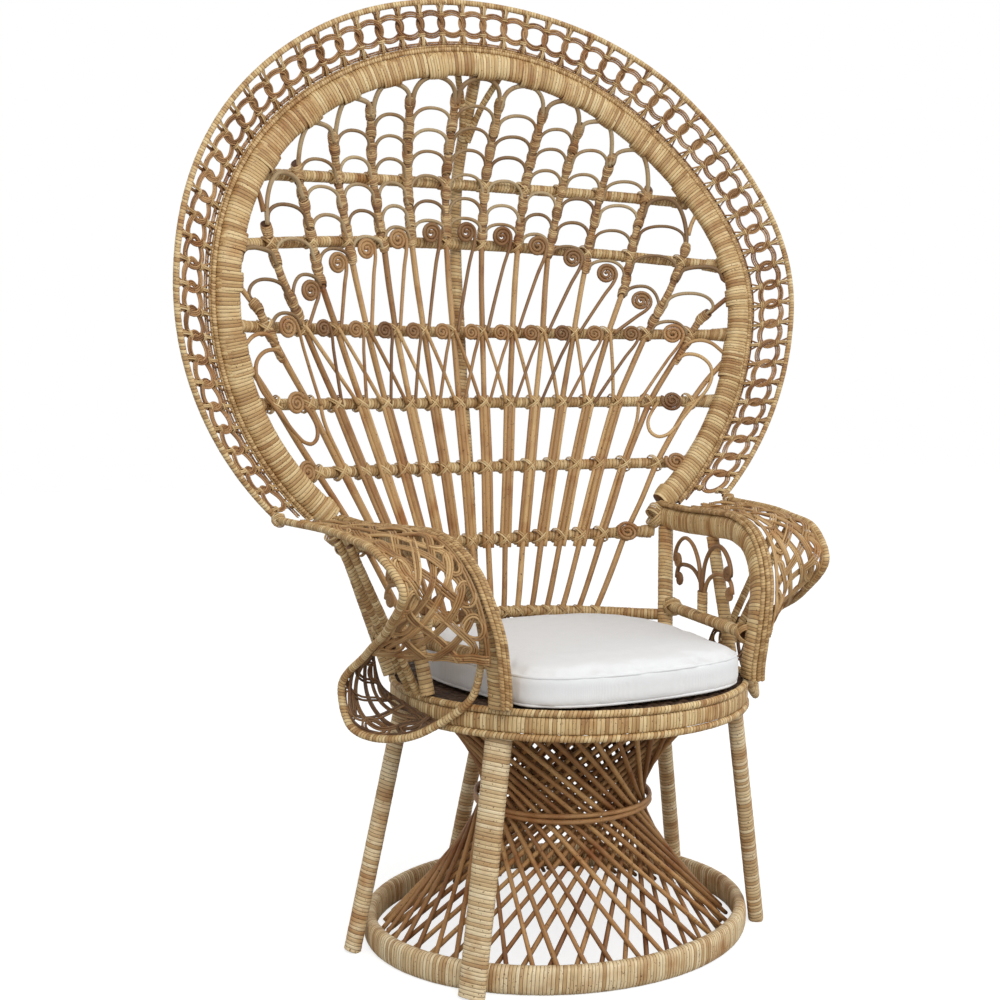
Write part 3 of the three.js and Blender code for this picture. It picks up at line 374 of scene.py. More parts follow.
def on_base_oval(grow, degrees, z):
    angle = np.radians(degrees)
    return np.array([(BASE_HALF_WIDTH + grow) * np.sin(angle),
                     BASE_CENTRE_BACK - (BASE_HALF_DEPTH + grow) * np.cos(angle), z])


base_path = [on_base_oval(-BASE_RING_THICKNESS / 2, a, BASE_RING_HEIGHT / 2)
             for a in range(0, 360, 5)]
place("base_ring_wound", [wound(base_path, BASE_RING_THICKNESS / 2, BASE_RING_HEIGHT / 2, pitch=5.0,
                                side=(0, 0, 1), sides=20, closed=True)],
      PALE_AND_LIT_PEEL, ["base_ring"])


# Legs: five wound poles that stand against the base ring and lean in to the seat. The
# front pair is flat and wide, made of two canes side by side; the others are round.
SEAT_RADIUS, SEAT_TOP_Z = 261.0, 395
RIM_INNER, RIM_LOWER_Z, LEG_TOP_Z = 256.0, 357.0, 385.3
FOOT_TURN, RING_TOUCH_Z, LEG_GAP, LEG_FOOT_Z = 7, 36.0, 0.6, 0.6


def polar(radius, degrees, z):
    angle = math.radians(degrees)
    return np.array([radius * math.sin(angle), -radius * math.cos(angle), z])


for name, top_angle, foot_angle, wide, deep in (
        ("leg_front_right", 52, 55, 19.0, 12.0), ("leg_front_left", -52, -55, 19.0, 12.0),
        ("leg_side_right", 113, 106, 13.0, 13.0), ("leg_side_left", -113, -106, 13.0, 13.0),
        ("leg_rear", 180, 180, 13.0, 13.0)):
    turned = math.radians(foot_angle + FOOT_TURN)
    heading = math.degrees(math.atan2(BASE_HALF_DEPTH * math.sin(turned),
                                      BASE_HALF_WIDTH * math.cos(turned)))
    face = math.radians((heading + top_angle) / 2)
    spare = LEG_GAP + (wide - deep) * abs(math.sin(math.radians(heading) - face))
    low = on_base_oval(deep + spare, foot_angle + FOOT_TURN, RING_TOUCH_Z)
    high = polar(RIM_INNER - spare - deep, top_angle, RIM_LOWER_Z)
    ends = [low + (high - low) * (z - RING_TOUCH_Z) / (RIM_LOWER_Z - RING_TOUCH_Z)
            for z in (LEG_FOOT_Z, 130, 260, LEG_TOP_Z)]
    out = (math.sin(face), -math.cos(face), 0)
    pole = wound(ends, wide - 0.3, deep - 0.3, pitch=5.4, side=out, sides=16)
    place(name + "_wound", [pole], PALE_AND_LIT_PEEL, [name])


# Hourglass: straight bare canes in two crossing families, from inside the base ring over
# the bound waist and on to a hoop under the seat.
CORE = rattan("bare core cane", (196, 152, 98), (174, 128, 78), (138, 94, 54),
              stain=0.9, specks=1.0, roughness=0.55)
WAIST_HEIGHT, WAIST_RADIUS, CANE_HOOP_RADIUS = 206.0, 130.0, 207
HOURGLASS_CANES, HOURGLASS_TURN = 40, 58.0
waist_back = BASE_CENTRE_BACK * (SEAT_TOP_Z - WAIST_HEIGHT) / SEAT_TOP_Z


def seat_circle(radius, z, every):
    return [polar(radius, a, z) for a in range(0, 360, every)]


for name, step, direction in (("hourglass_canes_outer", 0.0, 1),
                              ("hourglass_canes_inner", 11.0, -1)):
    parts = []
    for i in range(HOURGLASS_CANES):
        angle = 360 * i / HOURGLASS_CANES + chance.uniform(-0.8, 0.8)
        top = polar(CANE_HOOP_RADIUS - step, angle - direction * HOURGLASS_TURN, 357.5)
        waist = polar(WAIST_RADIUS - 10.3 - step, angle, WAIST_HEIGHT) + (0, waist_back, 0)
        foot = on_base_oval(-25.6 - step, angle + direction * HOURGLASS_TURN, 1.5)
        points = [foot, foot + (waist - foot) * 0.5, foot + (waist - foot) * 0.93,
                  waist + (top - waist) * 0.07, waist + (top - waist) * 0.5, top]
        parts.append(cane(points, chance.uniform(3.3, 3.8), step=12.0))
    hoop = seat_circle(CANE_HOOP_RADIUS - step, RIM_LOWER_Z, 10)
    parts.append(cane(hoop, 3.8, closed=True, step=10))
    place(name + "_bare", parts, CORE, [name])


# Waist band: two bare canes, side by side, that run round the crossing canes and hold them
# together at the narrowest place.
BROWN = rattan("brown edge cane", (214, 182, 130), (192, 156, 104), (154, 118, 72),
               groove_shade=0.9, specks=0.7)
BAND = rattan("waist band cane", (196, 150, 100), (174, 128, 80), (140, 98, 60),
              stain=0.9, specks=0.7)
parts = []
for k, lift in enumerate((-3.7, 3.7)):
    loop = [polar(WAIST_RADIUS + 0.2, a,
                  WAIST_HEIGHT + lift + 0.8 * math.sin(math.radians(a * 3) + 2 * k))
            + (0, waist_back, 0) for a in range(0, 360, 6)]
    parts.append(cane(loop, 3.5, step=6, closed=True))
place("waist_band_bent", parts, BAND, ["waist_band"])


# Seat frame: a thick bare hoop that is hidden under the deck, two wound rim canes, and an apron
# of upright strips between them.
hoop = seat_circle(CANE_HOOP_RADIUS, 372.3, 10)
place("seat_hoop_bare", [cane(hoop, 12.6, sides=12, closed=True, step=12)], CORE,
      ["seat_hoop"])
for name, z in (("seat_rim_upper", 390.0), ("seat_rim_lower", RIM_LOWER_Z)):
    rim = seat_circle(SEAT_RADIUS - 0.9, z, 6)
    place(name + "_wound", [wound(rim, 5.0, pitch=5.2, side=(0, 0, 1), sides=10, closed=True)],
          PEEL, [name])
apron = seat_circle(RIM_INNER + 3.4, 373.5, 6)
place("seat_apron_wound", [wound(apron, 3.4, 11.4, pitch=5.2, side=(0, 0, 1), sides=14, slant=0.1,
                                 closed=True)], PEEL, ["seat_apron"])


# Deck: flat strips of cane, coloured dark as painted shade under the cushion's edge, woven
# over and under each other both ways across the seat frame. The cushion hides most of it.
DECK_PAINTED_SHADE = rattan("woven strip darkened as painted shade", (96, 72, 52), (76, 56, 40), (56, 40, 28),
              stain=0.6, specks=0.3, roughness=0.65)
STRIP_PITCH, DECK_RADIUS, DECK_Z = 12.4, 255.0, 389.3
parts = []
for turned in (0, 1):
    for k in range(-20, 21):
        off = k * STRIP_PITCH
        reach = math.sqrt(DECK_RADIUS ** 2 - off ** 2)
        over = 1.1 if (k + turned) % 2 else -1.1
        points = []
        for along in np.arange(-reach, reach, STRIP_PITCH / 2):
            z = DECK_Z + over * math.cos(math.pi * along / STRIP_PITCH)
            points.append((along, off, z) if turned else (off, along, z))
        parts.append(cane(points, 5.6, sides=6, step=STRIP_PITCH / 2, deep=1.0, side=(0, 0, 1),
                          bent=False))
place("seat_deck_woven", parts, DECK_PAINTED_SHADE, ["seat_deck"])


# Main hoop: one thick bent pole, flattened and wound, with three thinner wound canes along its
# outer edge, and the border's outer hoop. The plane leans back towards the top, as all of the
# back does.
HOOP_HALF_WIDTH, HOOP_WIDEST_Z, HOOP_UP, HOOP_DOWN = 449.0, 940.0, 385.0, 425.0
HOOP_SIDE_Y, HOOP_TOP_Y, HOOP_END, BORDER_END = 199.0, 278.0, 139.0, 132.0
BORDER_HALF_WIDTH, BORDER_WIDEST_Z, BORDER_UP, BORDER_DOWN = 534.0, 950.0, 470.0, 480.0
HOOP_WIDE, HOOP_DEEP, BORDER_FLARE, EDGE_BEYOND = 18.6, 11.8, 38.0, 4


def hoop_depth(cosine):
    rise = math.sin(min(1.1 * max(cosine, 0.0), 1.0) * math.pi / 2) ** 2
    return HOOP_SIDE_Y + (HOOP_TOP_Y - HOOP_SIDE_Y) * rise


def hoop_point(degrees, grow=0.0, back=0.0):
    angle = math.radians(degrees)
    cosine = math.cos(angle)
    half = (HOOP_UP if cosine > 0 else HOOP_DOWN) + grow
    return np.array([(HOOP_HALF_WIDTH + grow) * math.sin(angle), hoop_depth(cosine) + back,
                     HOOP_WIDEST_Z + half * cosine])


def border_point(degrees):
    angle = math.radians(degrees)
    cosine = math.cos(angle)
    half = BORDER_UP if cosine > 0 else BORDER_DOWN
    flare = math.sin(min(2 * abs(angle), math.pi / 2)) ** 2
    return np.array([BORDER_HALF_WIDTH * math.sin(angle), hoop_depth(cosine) - BORDER_FLARE * flare,
                     BORDER_WIDEST_Z + half * cosine])


def along_hoop(end, grow=0.0, back=0.0, count=80):
    return [hoop_point(a, grow, back) for a in np.linspace(-end, end, count)]


place("main_hoop_wound", [wound(along_hoop(HOOP_END), HOOP_WIDE, HOOP_DEEP, side=(0, 1, 0),
                                sides=20, ridge=0.7)], PEEL, ["main_hoop"])
EDGE = rattan("pale edge cane", (226, 194, 142), (206, 172, 120), (168, 132, 84),
              groove_shade=0.9, specks=0.7)
path = along_hoop(BORDER_END + EDGE_BEYOND, 21.6, -3.0)
place("hoop_edge_cane_pale", [wound(path, 3.7, pitch=4.4, sides=8, ridge=0.45)], EDGE,
      ["hoop_edge_cane"])
parts = [wound(along_hoop(BORDER_END + EDGE_BEYOND, grow, back), thick, pitch=4.6, sides=8,
               ridge=0.3)
         for grow, back, thick in ((26.6, -2.4, 1.9), (23.4, 4.8, 3.3))]
place("hoop_edge_canes_brown", parts, BROWN, ["hoop_edge_cane"])
path = [border_point(a) * (0.998, 1, 0.9993) for a in np.linspace(-BORDER_END, BORDER_END, 80)]
place("border_hoop_wound", [wound(path, 4.6, pitch=5.0, sides=10, ridge=0.4)], PEEL,
      ["border_hoop"])


# Ring border: bent rings of three canes each, every ring laced through the next, so that the
# overlaps close up. Short canes tie each overlap to the hoops on either side.
RING_COUNT, RING_CANE, RING_SETBACK = 62, 1.5, 28.0
RING = rattan("ring cane", (196, 156, 108), (170, 128, 84), (132, 92, 56), stain=0.9, specks=1.0)
RING_WEAVES = ((24.2, 20.4), (21.6, 17.4), (19.0, 14.3))


def oval(centre, first, second):
    """Ten points round an oval with these two half axes."""
    return [centre + first * math.cos(t) + second * math.sin(t)
            for t in np.linspace(0, FULL_TURN, 10, endpoint=False)]


def flat_tie(loop, side):
    return cane(loop, 0.6, sides=5, step=5, closed=True, deep=1.3, side=side)


parts, ties, rungs = [], [], []
for i in np.arange(0, RING_COUNT + 0.5, 0.5):
    degrees = (i / RING_COUNT * 2 - 1) * (BORDER_END - 1)
    inner, outer = hoop_point(degrees, RING_SETBACK), border_point(degrees)
    out = unit(outer - inner)
    span = np.linalg.norm(outer - inner) - 5.0
    along = unit(hoop_point(degrees + 1, 60.0) - hoop_point(degrees - 1, 60.0))
    through = unit(np.cross(along, out))
    middle = inner + out * span * 0.53
    squeeze = min(1.0, (span * 0.45) / 21.5)
    if i % 1:
        for wide, high in RING_WEAVES:
            ring = [middle + out * squeeze * high * math.cos(t) + along * wide * math.sin(t)
                    + through * (1.9 * math.sin(2 * t))
                    for t in np.linspace(0, FULL_TURN, 20, endpoint=False)]
            parts.append(cane(ring, RING_CANE, sides=6, step=5.0, closed=True))
        continue
    for end, sign in ((outer - out * 2.0, 1), (inner + out * 0.5, -1)):
        tip = middle + out * sign * squeeze * 14.5
        for aside in ((-7.0, 7.0) if sign > 0 else (-9.0, 0.0, 9.0)):
            foot = end + along * aside
            rungs.append(cane([foot, (foot + tip) / 2 + through * 1.0, tip], RING_CANE, sides=6,
                              step=6.0))
        for shift in (-2.0, 0.8):
            ties.append(flat_tie([p + out * (shift + 0.4 * sign)
                                  for p in oval(tip, along * 6.2, through * 4.6)], out))
        reach = np.linalg.norm(end - tip) / 2 + 2.0
        centre = (end + tip) / 2 - out * sign * 1.0
        loop = oval(centre, out * reach, through * (5.4 if sign > 0 else 4.4))
        for shift in (-1.3, 1.3):
            ties.append(flat_tie([p + along * shift for p in loop], along))
for aside, radius in ((30.5, 1.5), (33.5, 1.4)):
    rungs.append(wound(along_hoop(BORDER_END + 2, aside, 1.0, 90), radius, pitch=5.5, sides=6,
                       ridge=0.25))
place("ring_border_bent", parts, RING, ["ring_border_1", "ring_border_2"])
place("ring_border_rungs", rungs, RING, [])
TIE = rattan("pale lashing", (226, 200, 152), (208, 176, 124), (176, 138, 90),
             stain=0.5, specks=0.4)
place("ring_border_ties", ties, TIE, [])


# Spine: a round wound post behind the fan, bound to the seat below. Near the top two thinner
# poles fork from it to the hoop.
LOWER_RAIL_Z, RAIL_END_X, RAIL_END_Y, RAIL_REACH = 442.0, 242.0, 130.0, 249
DISH_BOW, HOOP_TOP_Z = 72.0, 1325.0
BOW_SHARES = ((0, 0.13, 0.27, 0.39, 0.52, 0.61, 0.69, 0.8, 0.86, 0.93, 1),
              (-0.08, 0.19, 0.37, 0.6, 0.8, 0.94, 1, 0.93, 0.7, 0.33, 0))
hoop_end = hoop_point(HOOP_END)
CROSSBARS = ((1146, 1127), (1049, 1018), (903, 902), (786, 788), (680, 684), (560, 572))
BAR_RADIUS, BAR_BACK, BAR_END_BACK, SPINE_BACK = 9.0, 12.8, 17.2, 31.5


def centre_depth(z):
    share = (z - LOWER_RAIL_Z) / (HOOP_TOP_Z - LOWER_RAIL_Z)
    return HOOP_TOP_Y + DISH_BOW * float(np.interp(share, *BOW_SHARES))


def side_of_back(z):
    if z >= hoop_end[2]:
        rise = (z - HOOP_WIDEST_Z) / (HOOP_UP if z > HOOP_WIDEST_Z else HOOP_DOWN)
        share = max(-1.0, min(1.0, rise))
        return HOOP_HALF_WIDTH * math.sqrt(1 - share * share), hoop_depth(rise)
    share = (hoop_end[2] - z) / (hoop_end[2] - LOWER_RAIL_Z)
    return (hoop_end[0] + (RAIL_END_X - hoop_end[0]) * share,
            hoop_end[1] + (RAIL_END_Y - hoop_end[1]) * share)


def on_dish(x, z, forward=0.0):
    reach, side_y = side_of_back(z)
    middle = centre_depth(z)
    out = min(abs(x) / reach, 1.0) if reach > 0 else 0.0
    return np.array([x, middle - (middle - side_y) * out * out - forward, z])


points = [(0, 275.0, 352), (0, 275.3, SEAT_TOP_Z)]
points += [(0, centre_depth(z) + SPINE_BACK, z) for z in (442, 560, 680, 786, 903, 1049, 1146)]
points += [(0, 304.0, 1318)]
parts = [wound(points, 9.8, pitch=5.6, sides=14)]
for side in (-1, 1):
    fork = [(side * 5, centre_depth(1215) + 22.0, 1215), (side * 16, 322.0, 1262),
            hoop_point(side * 5.2, -6, 12)]
    parts.append(wound(fork, 5.5, pitch=5.0, sides=10))
place("spine_post_wound", parts, PEEL, ["spine_post"])


# Crossbars: six round poles wound with peel, which run behind the stakes and ribs from one side
# of the hoop to the other. Each end is lashed to the back of the hoop.
def bar_point(number, out):
    middle_z, end_z = CROSSBARS[number]
    back = BAR_BACK + (BAR_END_BACK - BAR_BACK) * out * out
    return on_dish(out * side_of_back(end_z)[0], middle_z + (end_z - middle_z) * out * out, -back)


for i in range(len(CROSSBARS)):
    path = [bar_point(i, k / 8) for k in range(-8, 9)]
    place(f"crossbar_{i + 1}_wound", [wound(path, BAR_RADIUS, pitch=5.6, sides=14, ridge=0.6)],
          PEEL, [f"crossbar_{i + 1}"])


# Stakes: canes that fan out from the wound lower rail, each one a thick cane with a thin
# one on either side. Thin canes cross over below bar 3 and end in small scrolls.
FAN_SPACING_LOW, FAN_WIDENING = 22.5, 0.06833


def fan_spacing(z):
    return FAN_SPACING_LOW + FAN_WIDENING * (z - LOWER_RAIL_Z)


FAN_HEIGHTS = (424, 560, 687, 786, 903)
FAN_NUMBERS = [side * (k + 0.5) for side in (-1, 1) for k in range(8)]
STAKE_AT_BAR_5 = (19.6, 58.5, 97.7, 137.0, 176.0, 216.0, 258.0, 307.0)
STAKE_AT_BAR_4 = (23.0, 69.0, 115.0, 161.0, 207.0, 254.0, 307.0, 371.0)
RIB_AT_BAR_3 = (27.0, 81.5, 135.0, 189.0, 247.0, 309.0, 379.0, 441.0)


def place_in_fan(number):
    return int(abs(number) - 0.5)


def fan_x(number, z):
    """How far out a stake is at height z; number counts in halves from the middle."""
    k = place_in_fan(number)
    outs = [abs(number) * fan_spacing(424), abs(number) * fan_spacing(560), STAKE_AT_BAR_5[k],
            STAKE_AT_BAR_4[k], RIB_AT_BAR_3[k]]
    return math.copysign(float(np.interp(z, FAN_HEIGHTS, outs)), number)


def fan_point(number, z, forward=0.0, aside=0.0):
    return on_dish(fan_x(number, z) + aside, z, forward)


def coil(centre_of, radius, pitch, turns, start=0.0):
    """A scroll's points, from where its stem meets it, over the top and inwards."""
    points = []
    for t in np.arange(0, turns + 1e-6, 1 / 16):
        r = radius - pitch * t
        angle = FULL_TURN * t + start
        points.append(centre_of(r * math.cos(angle), r * math.sin(angle)))
    return points


def dish_coil(x, z, forward, *shape):
    return coil(lambda a, b: on_dish(x + a, z + b, forward), *shape)


def stemmed(foot, centre, radius, pitch, turns, depths):
    """A straight stem that runs on into its scroll; foot and centre are (x, z) on the dish."""
    away = np.array(centre, float) - np.array(foot, float)
    length = np.linalg.norm(away)
    heading = math.atan2(away[1], away[0]) - math.asin(min(radius / length, 0.95))
    start = heading - math.pi / 2
    touch = np.array(centre) + radius * np.array([math.cos(start), math.sin(start)])
    low, high = depths
    path = []
    for share in (0.0, 0.35, 0.7):
        x, z = np.array(foot) + (touch - np.array(foot)) * share
        path.append(on_dish(x, z, low + (high - low) * share))
    return path + dish_coil(*centre, high, radius, pitch, turns, start)


STAKE = rattan("stake cane", (208, 172, 120), (186, 146, 96), (150, 108, 66),
               stain=0.9, specks=1.0, roughness=0.45)
STAKE_FORWARD, BAR_4_Z, BAR_3_Z = 0.6, 786, 903
STAKE_HEIGHTS = (424, 470, 520, 560, 620, 687, 740, BAR_4_Z, 845, BAR_3_Z)
SMALL_SCROLL_X = (0, 54, 108, 162, 217, 278, 344)
SIDE_DROP = ((353, 858), (364, 867), (378, 868), (392, 862), (403, 848), (404, 830), (396, 810),
             (377, 787), (358, 765), (340, 744), (325, 731), (311, 728), (301, 735), (298, 752),
             (306, 770), (318, 786))
SIDE_HOOK = ((361, 878), (374, 888), (391, 892), (407, 887), (419, 876), (429, 864))
parts, small_scrolls = [], []
path = [on_dish(k / 8 * RAIL_REACH, LOWER_RAIL_Z) for k in range(-8, 9)]
rail = wound(path, 9.3, pitch=5.4, sides=14, ridge=0.6)
for side in (-1, 1):
    for k in range(8):
        n = side * (k + 0.5)
        main = [fan_point(n, z, STAKE_FORWARD) for z in STAKE_HEIGHTS[:10 if k < 7 else 8]]
        if k == 7:
            main += [on_dish(side * 401, 827, 1.0), on_dish(side * 417, 846, 2.0),
                     on_dish(side * 428, 860, 3.0)]
        parts.append(cane(main, 4.8, sides=9, step=9))
        for aside in (-6.8, 6.8):
            if k == 7 or (k == 6 and aside * side > 0):
                continue
            heights = np.linspace(547, 784 if k < 6 else 690, 6)
            thin = [fan_point(n, z, STAKE_FORWARD + 0.3, aside) for z in heights]
            parts.append(cane(thin, 3.3, step=9))
    parts.append(cane([fan_point(side * 6.5, 682, 3.0, -side * 6.5), on_dish(side * 287, 786, 4.0),
                       on_dish(side * 287, 789, 4.0)], 3.0, step=9))
for i in range(-6, 5):
    low_x, top_x = fan_x(i + 1.5, BAR_4_Z) - 7.0, fan_x(i + 0.5, BAR_3_Z)
    path = [on_dish(low_x, BAR_4_Z, 2.6), on_dish((low_x + top_x) / 2 + 1, 845, 6.5),
            on_dish(top_x, 905, 7.5)]
    parts.append(cane(path, 3.1, step=8))
for m in range(-6, 7):
    shape = (13.5, 4.9, 2.35) if abs(m) < 6 else (16.8, 5.6, 2.6)
    centre_x = math.copysign(SMALL_SCROLL_X[abs(m)], m)
    foot_x = math.copysign(287, m) if abs(m) == 6 else fan_x(m - 0.5, BAR_4_Z) + 7.0
    path = stemmed((foot_x, BAR_4_Z), (centre_x, 902), *shape, (5.5, 13.5))
    small_scrolls.append(cane(path, 2.75, step=4.5))
for side in (-1, 1):
    turned = 0.5 if side < 0 else 2.6
    for x, z, forward, radius, pitch, turns, start in (
            (336, 789, 12.5, 16.2, 5.6, 2.6, turned), (329, 687, 12.5, 16.2, 5.6, 2.6, turned),
            (232, 572, 13.0, 15.0, 5.4, 2.5, 0.3)):
        turned_in = dish_coil(side * x, z, forward, radius, pitch, turns, start)
        small_scrolls.append(cane(turned_in, 3.0, step=4.5))
    parts.append(cane([on_dish(side * x, z, 5.5) for x, z in SIDE_DROP], 3.0, step=5))
    parts.append(cane([on_dish(side * x, z, 4.5) for x, z in SIDE_HOOK], 3.2, step=5))
place("stake_fan_canes", parts, STAKE, ["stake_fan"])
place("lower_rail_wound", [rail], PEEL, ["stake_fan"])
SCROLL = rattan("scroll cane", (188, 148, 100), (162, 122, 78), (124, 88, 54),
                stain=0.8, specks=0.8, roughness=0.42)
place("small_scrolls", small_scrolls, SCROLL, ["stake_fan"])


# Ribs and scallops: ribs rise from bar 3, wound from the lowest joint up, and thin canes
# arch from rib to rib above each scroll. The last arch of each bay is bound into the hoop.
SCROLL_HEIGHT_SHARES = (1, 0.975, 0.89, 0.775, 0.62, 0.34)
RIB_LINES = (((903, 27), (1060, 33), (1281, 40)), ((903, 81.5), (1060, 99), (1275, 121)),
             ((903, 135), (1034, 150), (1065, 158), (1108, 165), (1147, 173), (1182, 178),
              (1250, 189)),
             ((903, 189), (1032, 217), (1071, 224), (1103, 231), (1149, 240), (1203, 252)),
             ((903, 247), (983, 277), (1034, 287), (1085, 299), (1120, 309), (1152, 317)),
             ((903, 309), (975, 347), (1021, 366), (1051, 374), (1071, 378)),
             ((852, 352), (903, 379), (928, 393), (945, 412), (962, 430)))
RIB_WOUND_FROM = (1046, 1044, 1030, 1008, 966, 916, 852)
RIB_WOUND_TO = (1281, 1271, 1247, 1201, 1147, 1051, 936)
ARCH_CROWNS = ((1090, 1122, 1160, 1198, 1231, 1264, 1305),
               (1083, 1114, 1154, 1191, 1223, 1255, 1300),
               (1069, 1102, 1138, 1174, 1208, 1239, 1283), (1050, 1090, 1130, 1170, 1209, 1255),
               (1027, 1078, 1120, 1160, 1212), (984, 1036, 1086, 1133), (924, 972, 1017))
HUG_DROPS = (16, 17, 19, 22, 25, 34, 27)
TOP_CROWN_X = (3, 80, 157, 226, 285, 341, 401)
TOP_FEET = ((1277, 1277), (1275, 1266), (1266, 1243), (1247, 1199), (1201, 1150), (1112, 1066),
            (1008, 1004))


def scroll_height(bay):
    return BAR_3_Z + (1066 - BAR_3_Z) * SCROLL_HEIGHT_SHARES[abs(bay)]


def rib_x(rib, z):
    """How far out a rib is at height z."""
    heights, outs = zip(*RIB_LINES[place_in_fan(rib)])
    return math.copysign(float(np.interp(z, heights, outs)), rib)


def along_rib(rib, heights, forward):
    return [on_dish(rib_x(rib, z), z, forward) for z in heights]


def half_arch(crown, foot, below, deep):
    """A quarter oval from crown to foot, and a tail that is bound to the rib below it."""
    return [on_dish(crown[0] + (foot[0] - crown[0]) * math.sin(t) ** 0.9,
                    foot[1] + (crown[1] - foot[1]) * math.cos(t), deep)
            for t in np.linspace(0, math.pi / 2, 7)] + [on_dish(*below, deep)]


ARCH = rattan("scallop cane", (190, 168, 130), (166, 140, 102), (132, 102, 68),
              stain=0.8, specks=0.8)
arches, joints, top_crowns = [], [], []
for bay in range(-6, 7):
    heights = ARCH_CROWNS[abs(bay)]
    for number, crown_z in enumerate(heights):
        last = number == len(heights) - 1
        halves = []
        for rib in (bay - 0.5, bay + 0.5):
            outer = abs(rib) > abs(bay)
            drop = 23 if outer else 19
            if number == 0:
                drop = HUG_DROPS[abs(bay)] if outer else 14
            foot_z = TOP_FEET[abs(bay)][1 if outer else 0] if last else crown_z - drop
            toward = (3.6 if last else 5.2) * (1 if bay > rib else -1)
            if abs(bay) == 6 and outer and last:
                foot, below = (math.copysign(424, bay), 998), (math.copysign(434, bay), 989)
            else:
                lowest = RIB_WOUND_FROM[place_in_fan(rib)] + 3
                tail_z = min(max(foot_z - 14, lowest), foot_z - 3)
                foot = (rib_x(rib, foot_z) + toward, foot_z)
                below = (rib_x(rib, tail_z) + toward * 0.5, tail_z)
                joints.append((rib, foot_z - 7))
            halves.append((foot, below))
        crown = ((halves[0][0][0] + halves[1][0][0]) / 2, crown_z)
        if last:
            crown = (math.copysign(TOP_CROWN_X[abs(bay)], bay), crown_z)
            top_crowns.append(crown)
        deep, thick = (4.4, 3.8) if last else (3.6, 2.9)
        left = half_arch(crown, *halves[0], deep)[::-1]
        arches.append(cane(left[:-1] + half_arch(crown, *halves[1], deep), thick, step=4.5))
ribs, bare = [], []
for rib in [n for n in FAN_NUMBERS if abs(n) < 7]:
    k = place_in_fan(rib)
    start, top = RIB_WOUND_FROM[k], RIB_WOUND_TO[k]
    ribs.append(wound(along_rib(rib, np.linspace(start, top, 10), 0.5), 6.4, 4.4, pitch=4.6,
                      side=(0, 1, 0), ridge=0.7, slant=0.5, taper=[0.75] + [1.0] * 14 + [0.5]))
    if k < 6:
        bare.append(cane(along_rib(rib, np.linspace(892, start + 3, 6), 0.5), 4.8, sides=9, step=8))
    if k > 4:
        high = (1071, 1090, 1108) if k == 5 else (938, 950, 964)
        side_x = (378, 383, 391) if k == 5 else (406, 418, 433)
        path = [on_dish(math.copysign(x, rib), z, 1.0) for x, z in zip(side_x, high)]
        bare.append(cane(path, 3.9, step=6))
for rib, z in joints:
    k = place_in_fan(rib)
    z = min(max(z, RIB_WOUND_FROM[k] + 9), RIB_WOUND_TO[k] - 5)
    ribs.append(wound(along_rib(rib, [z + d for d in (-8, -3, 3, 8)], 1.2), 8.7, 6.4, pitch=3.4,
                      side=(0, 1, 0), ridge=0.8, slant=chance.choice((-1.5, 1.5)),
                      taper=(0.86, 1.0, 1.03, 0.9)))
place("scallop_arches", arches, ARCH, ["rib_lattice"])
WRAP = rattan("brown wound peel", (214, 184, 134), (186, 148, 100), (142, 102, 62),
              groove_shade=0.9, stain=0.9)
place("ribs_wound", ribs, WRAP, ["rib_lattice"])
place("rib_feet_bare", bare, STAKE, ["rib_lattice"])
bindings = []
side_ends = [(side * x, z) for side in (-1, 1) for x, z in ((433, 964), (417, 846), (421, 876))]
for x, z in top_crowns + side_ends:
    half = HOOP_UP if z > HOOP_WIDEST_Z else HOOP_DOWN
    degrees = math.degrees(math.atan2(x / HOOP_HALF_WIDTH, (z - HOOP_WIDEST_Z) / half))
    path = [hoop_point(degrees + d, -2.6) for d in (-2.1, -0.7, 0.7, 2.1)]
    bindings.append(wound(path, 20.2, 13.0, pitch=4.6, side=(0, 1, 0), sides=20, ridge=0.7,
                          taper=(0.97, 1.0, 1.0, 0.97)))
place("hoop_bindings", bindings, PEEL, [])


# Big scrolls: eleven canes that rise straight from the foot of a rib and coil inwards, all
# of them the same way round.
SCROLL_RADIUS, SCROLL_PITCH, SCROLL_TURNS = 16.6, 5.6, 2.6
for bay in range(-5, 6):
    z = scroll_height(bay)
    x = bay * fan_spacing(z) + math.copysign(9.0 if abs(bay) == 5 else 0.0, bay)
    foot = (fan_x(bay - 0.5, BAR_3_Z) + 5.5, BAR_3_Z)
    path = stemmed(foot, (x, z), SCROLL_RADIUS, SCROLL_PITCH, SCROLL_TURNS, (7.5, 9.0))
    place(f"scroll_{bay + 6}_coil", [cane(path, 3.05, sides=9, step=4.5)], SCROLL,
          [f"scroll_{bay + 6}"])


# Lashings of the back: flat strips tied crosswise over every crossing of a rib or stake with
# a bar, and round the ends of the bars.
ties = []
level = np.array([1.0, 0, 0])
for number, (middle_z, end_z) in enumerate(CROSSBARS):
    reach = side_of_back(end_z)[0]
    for n in FAN_NUMBERS:
        x_of = rib_x if number < 3 and abs(n) < 7 else fan_x
        if number < 3 and abs(n) > 7:
            continue
        if number < 2 and RIB_LINES[place_in_fan(n)][-1][0] < middle_z:
            continue
        x = x_of(n, middle_z)
        if abs(x) > reach - 14:
            continue
        z = middle_z + (end_z - middle_z) * (x / reach) ** 2
        x = x_of(n, z)
        front, rear = on_dish(x, z, 5.0), on_dish(x, z, -BAR_BACK - BAR_RADIUS)
        up = unit(on_dish(x_of(n, z + 10), z + 10) - on_dish(x_of(n, z - 10), z - 10))
        ties += tie((front + rear) / 2, up, level, 12.5 if number < 2 else 14.5,
                    np.linalg.norm(front - rear) / 2 + 1.2, width=2.9)
    for side in (-1, 1):
        path = [bar_point(number, side * share) for share in (0.93, 0.96, 0.99)]
        ties.append(wound(path, BAR_RADIUS + 2.2, pitch=4.2, sides=14, ridge=0.8, slant=0.8,
                          taper=(0.9, 1.0, 1.1)))
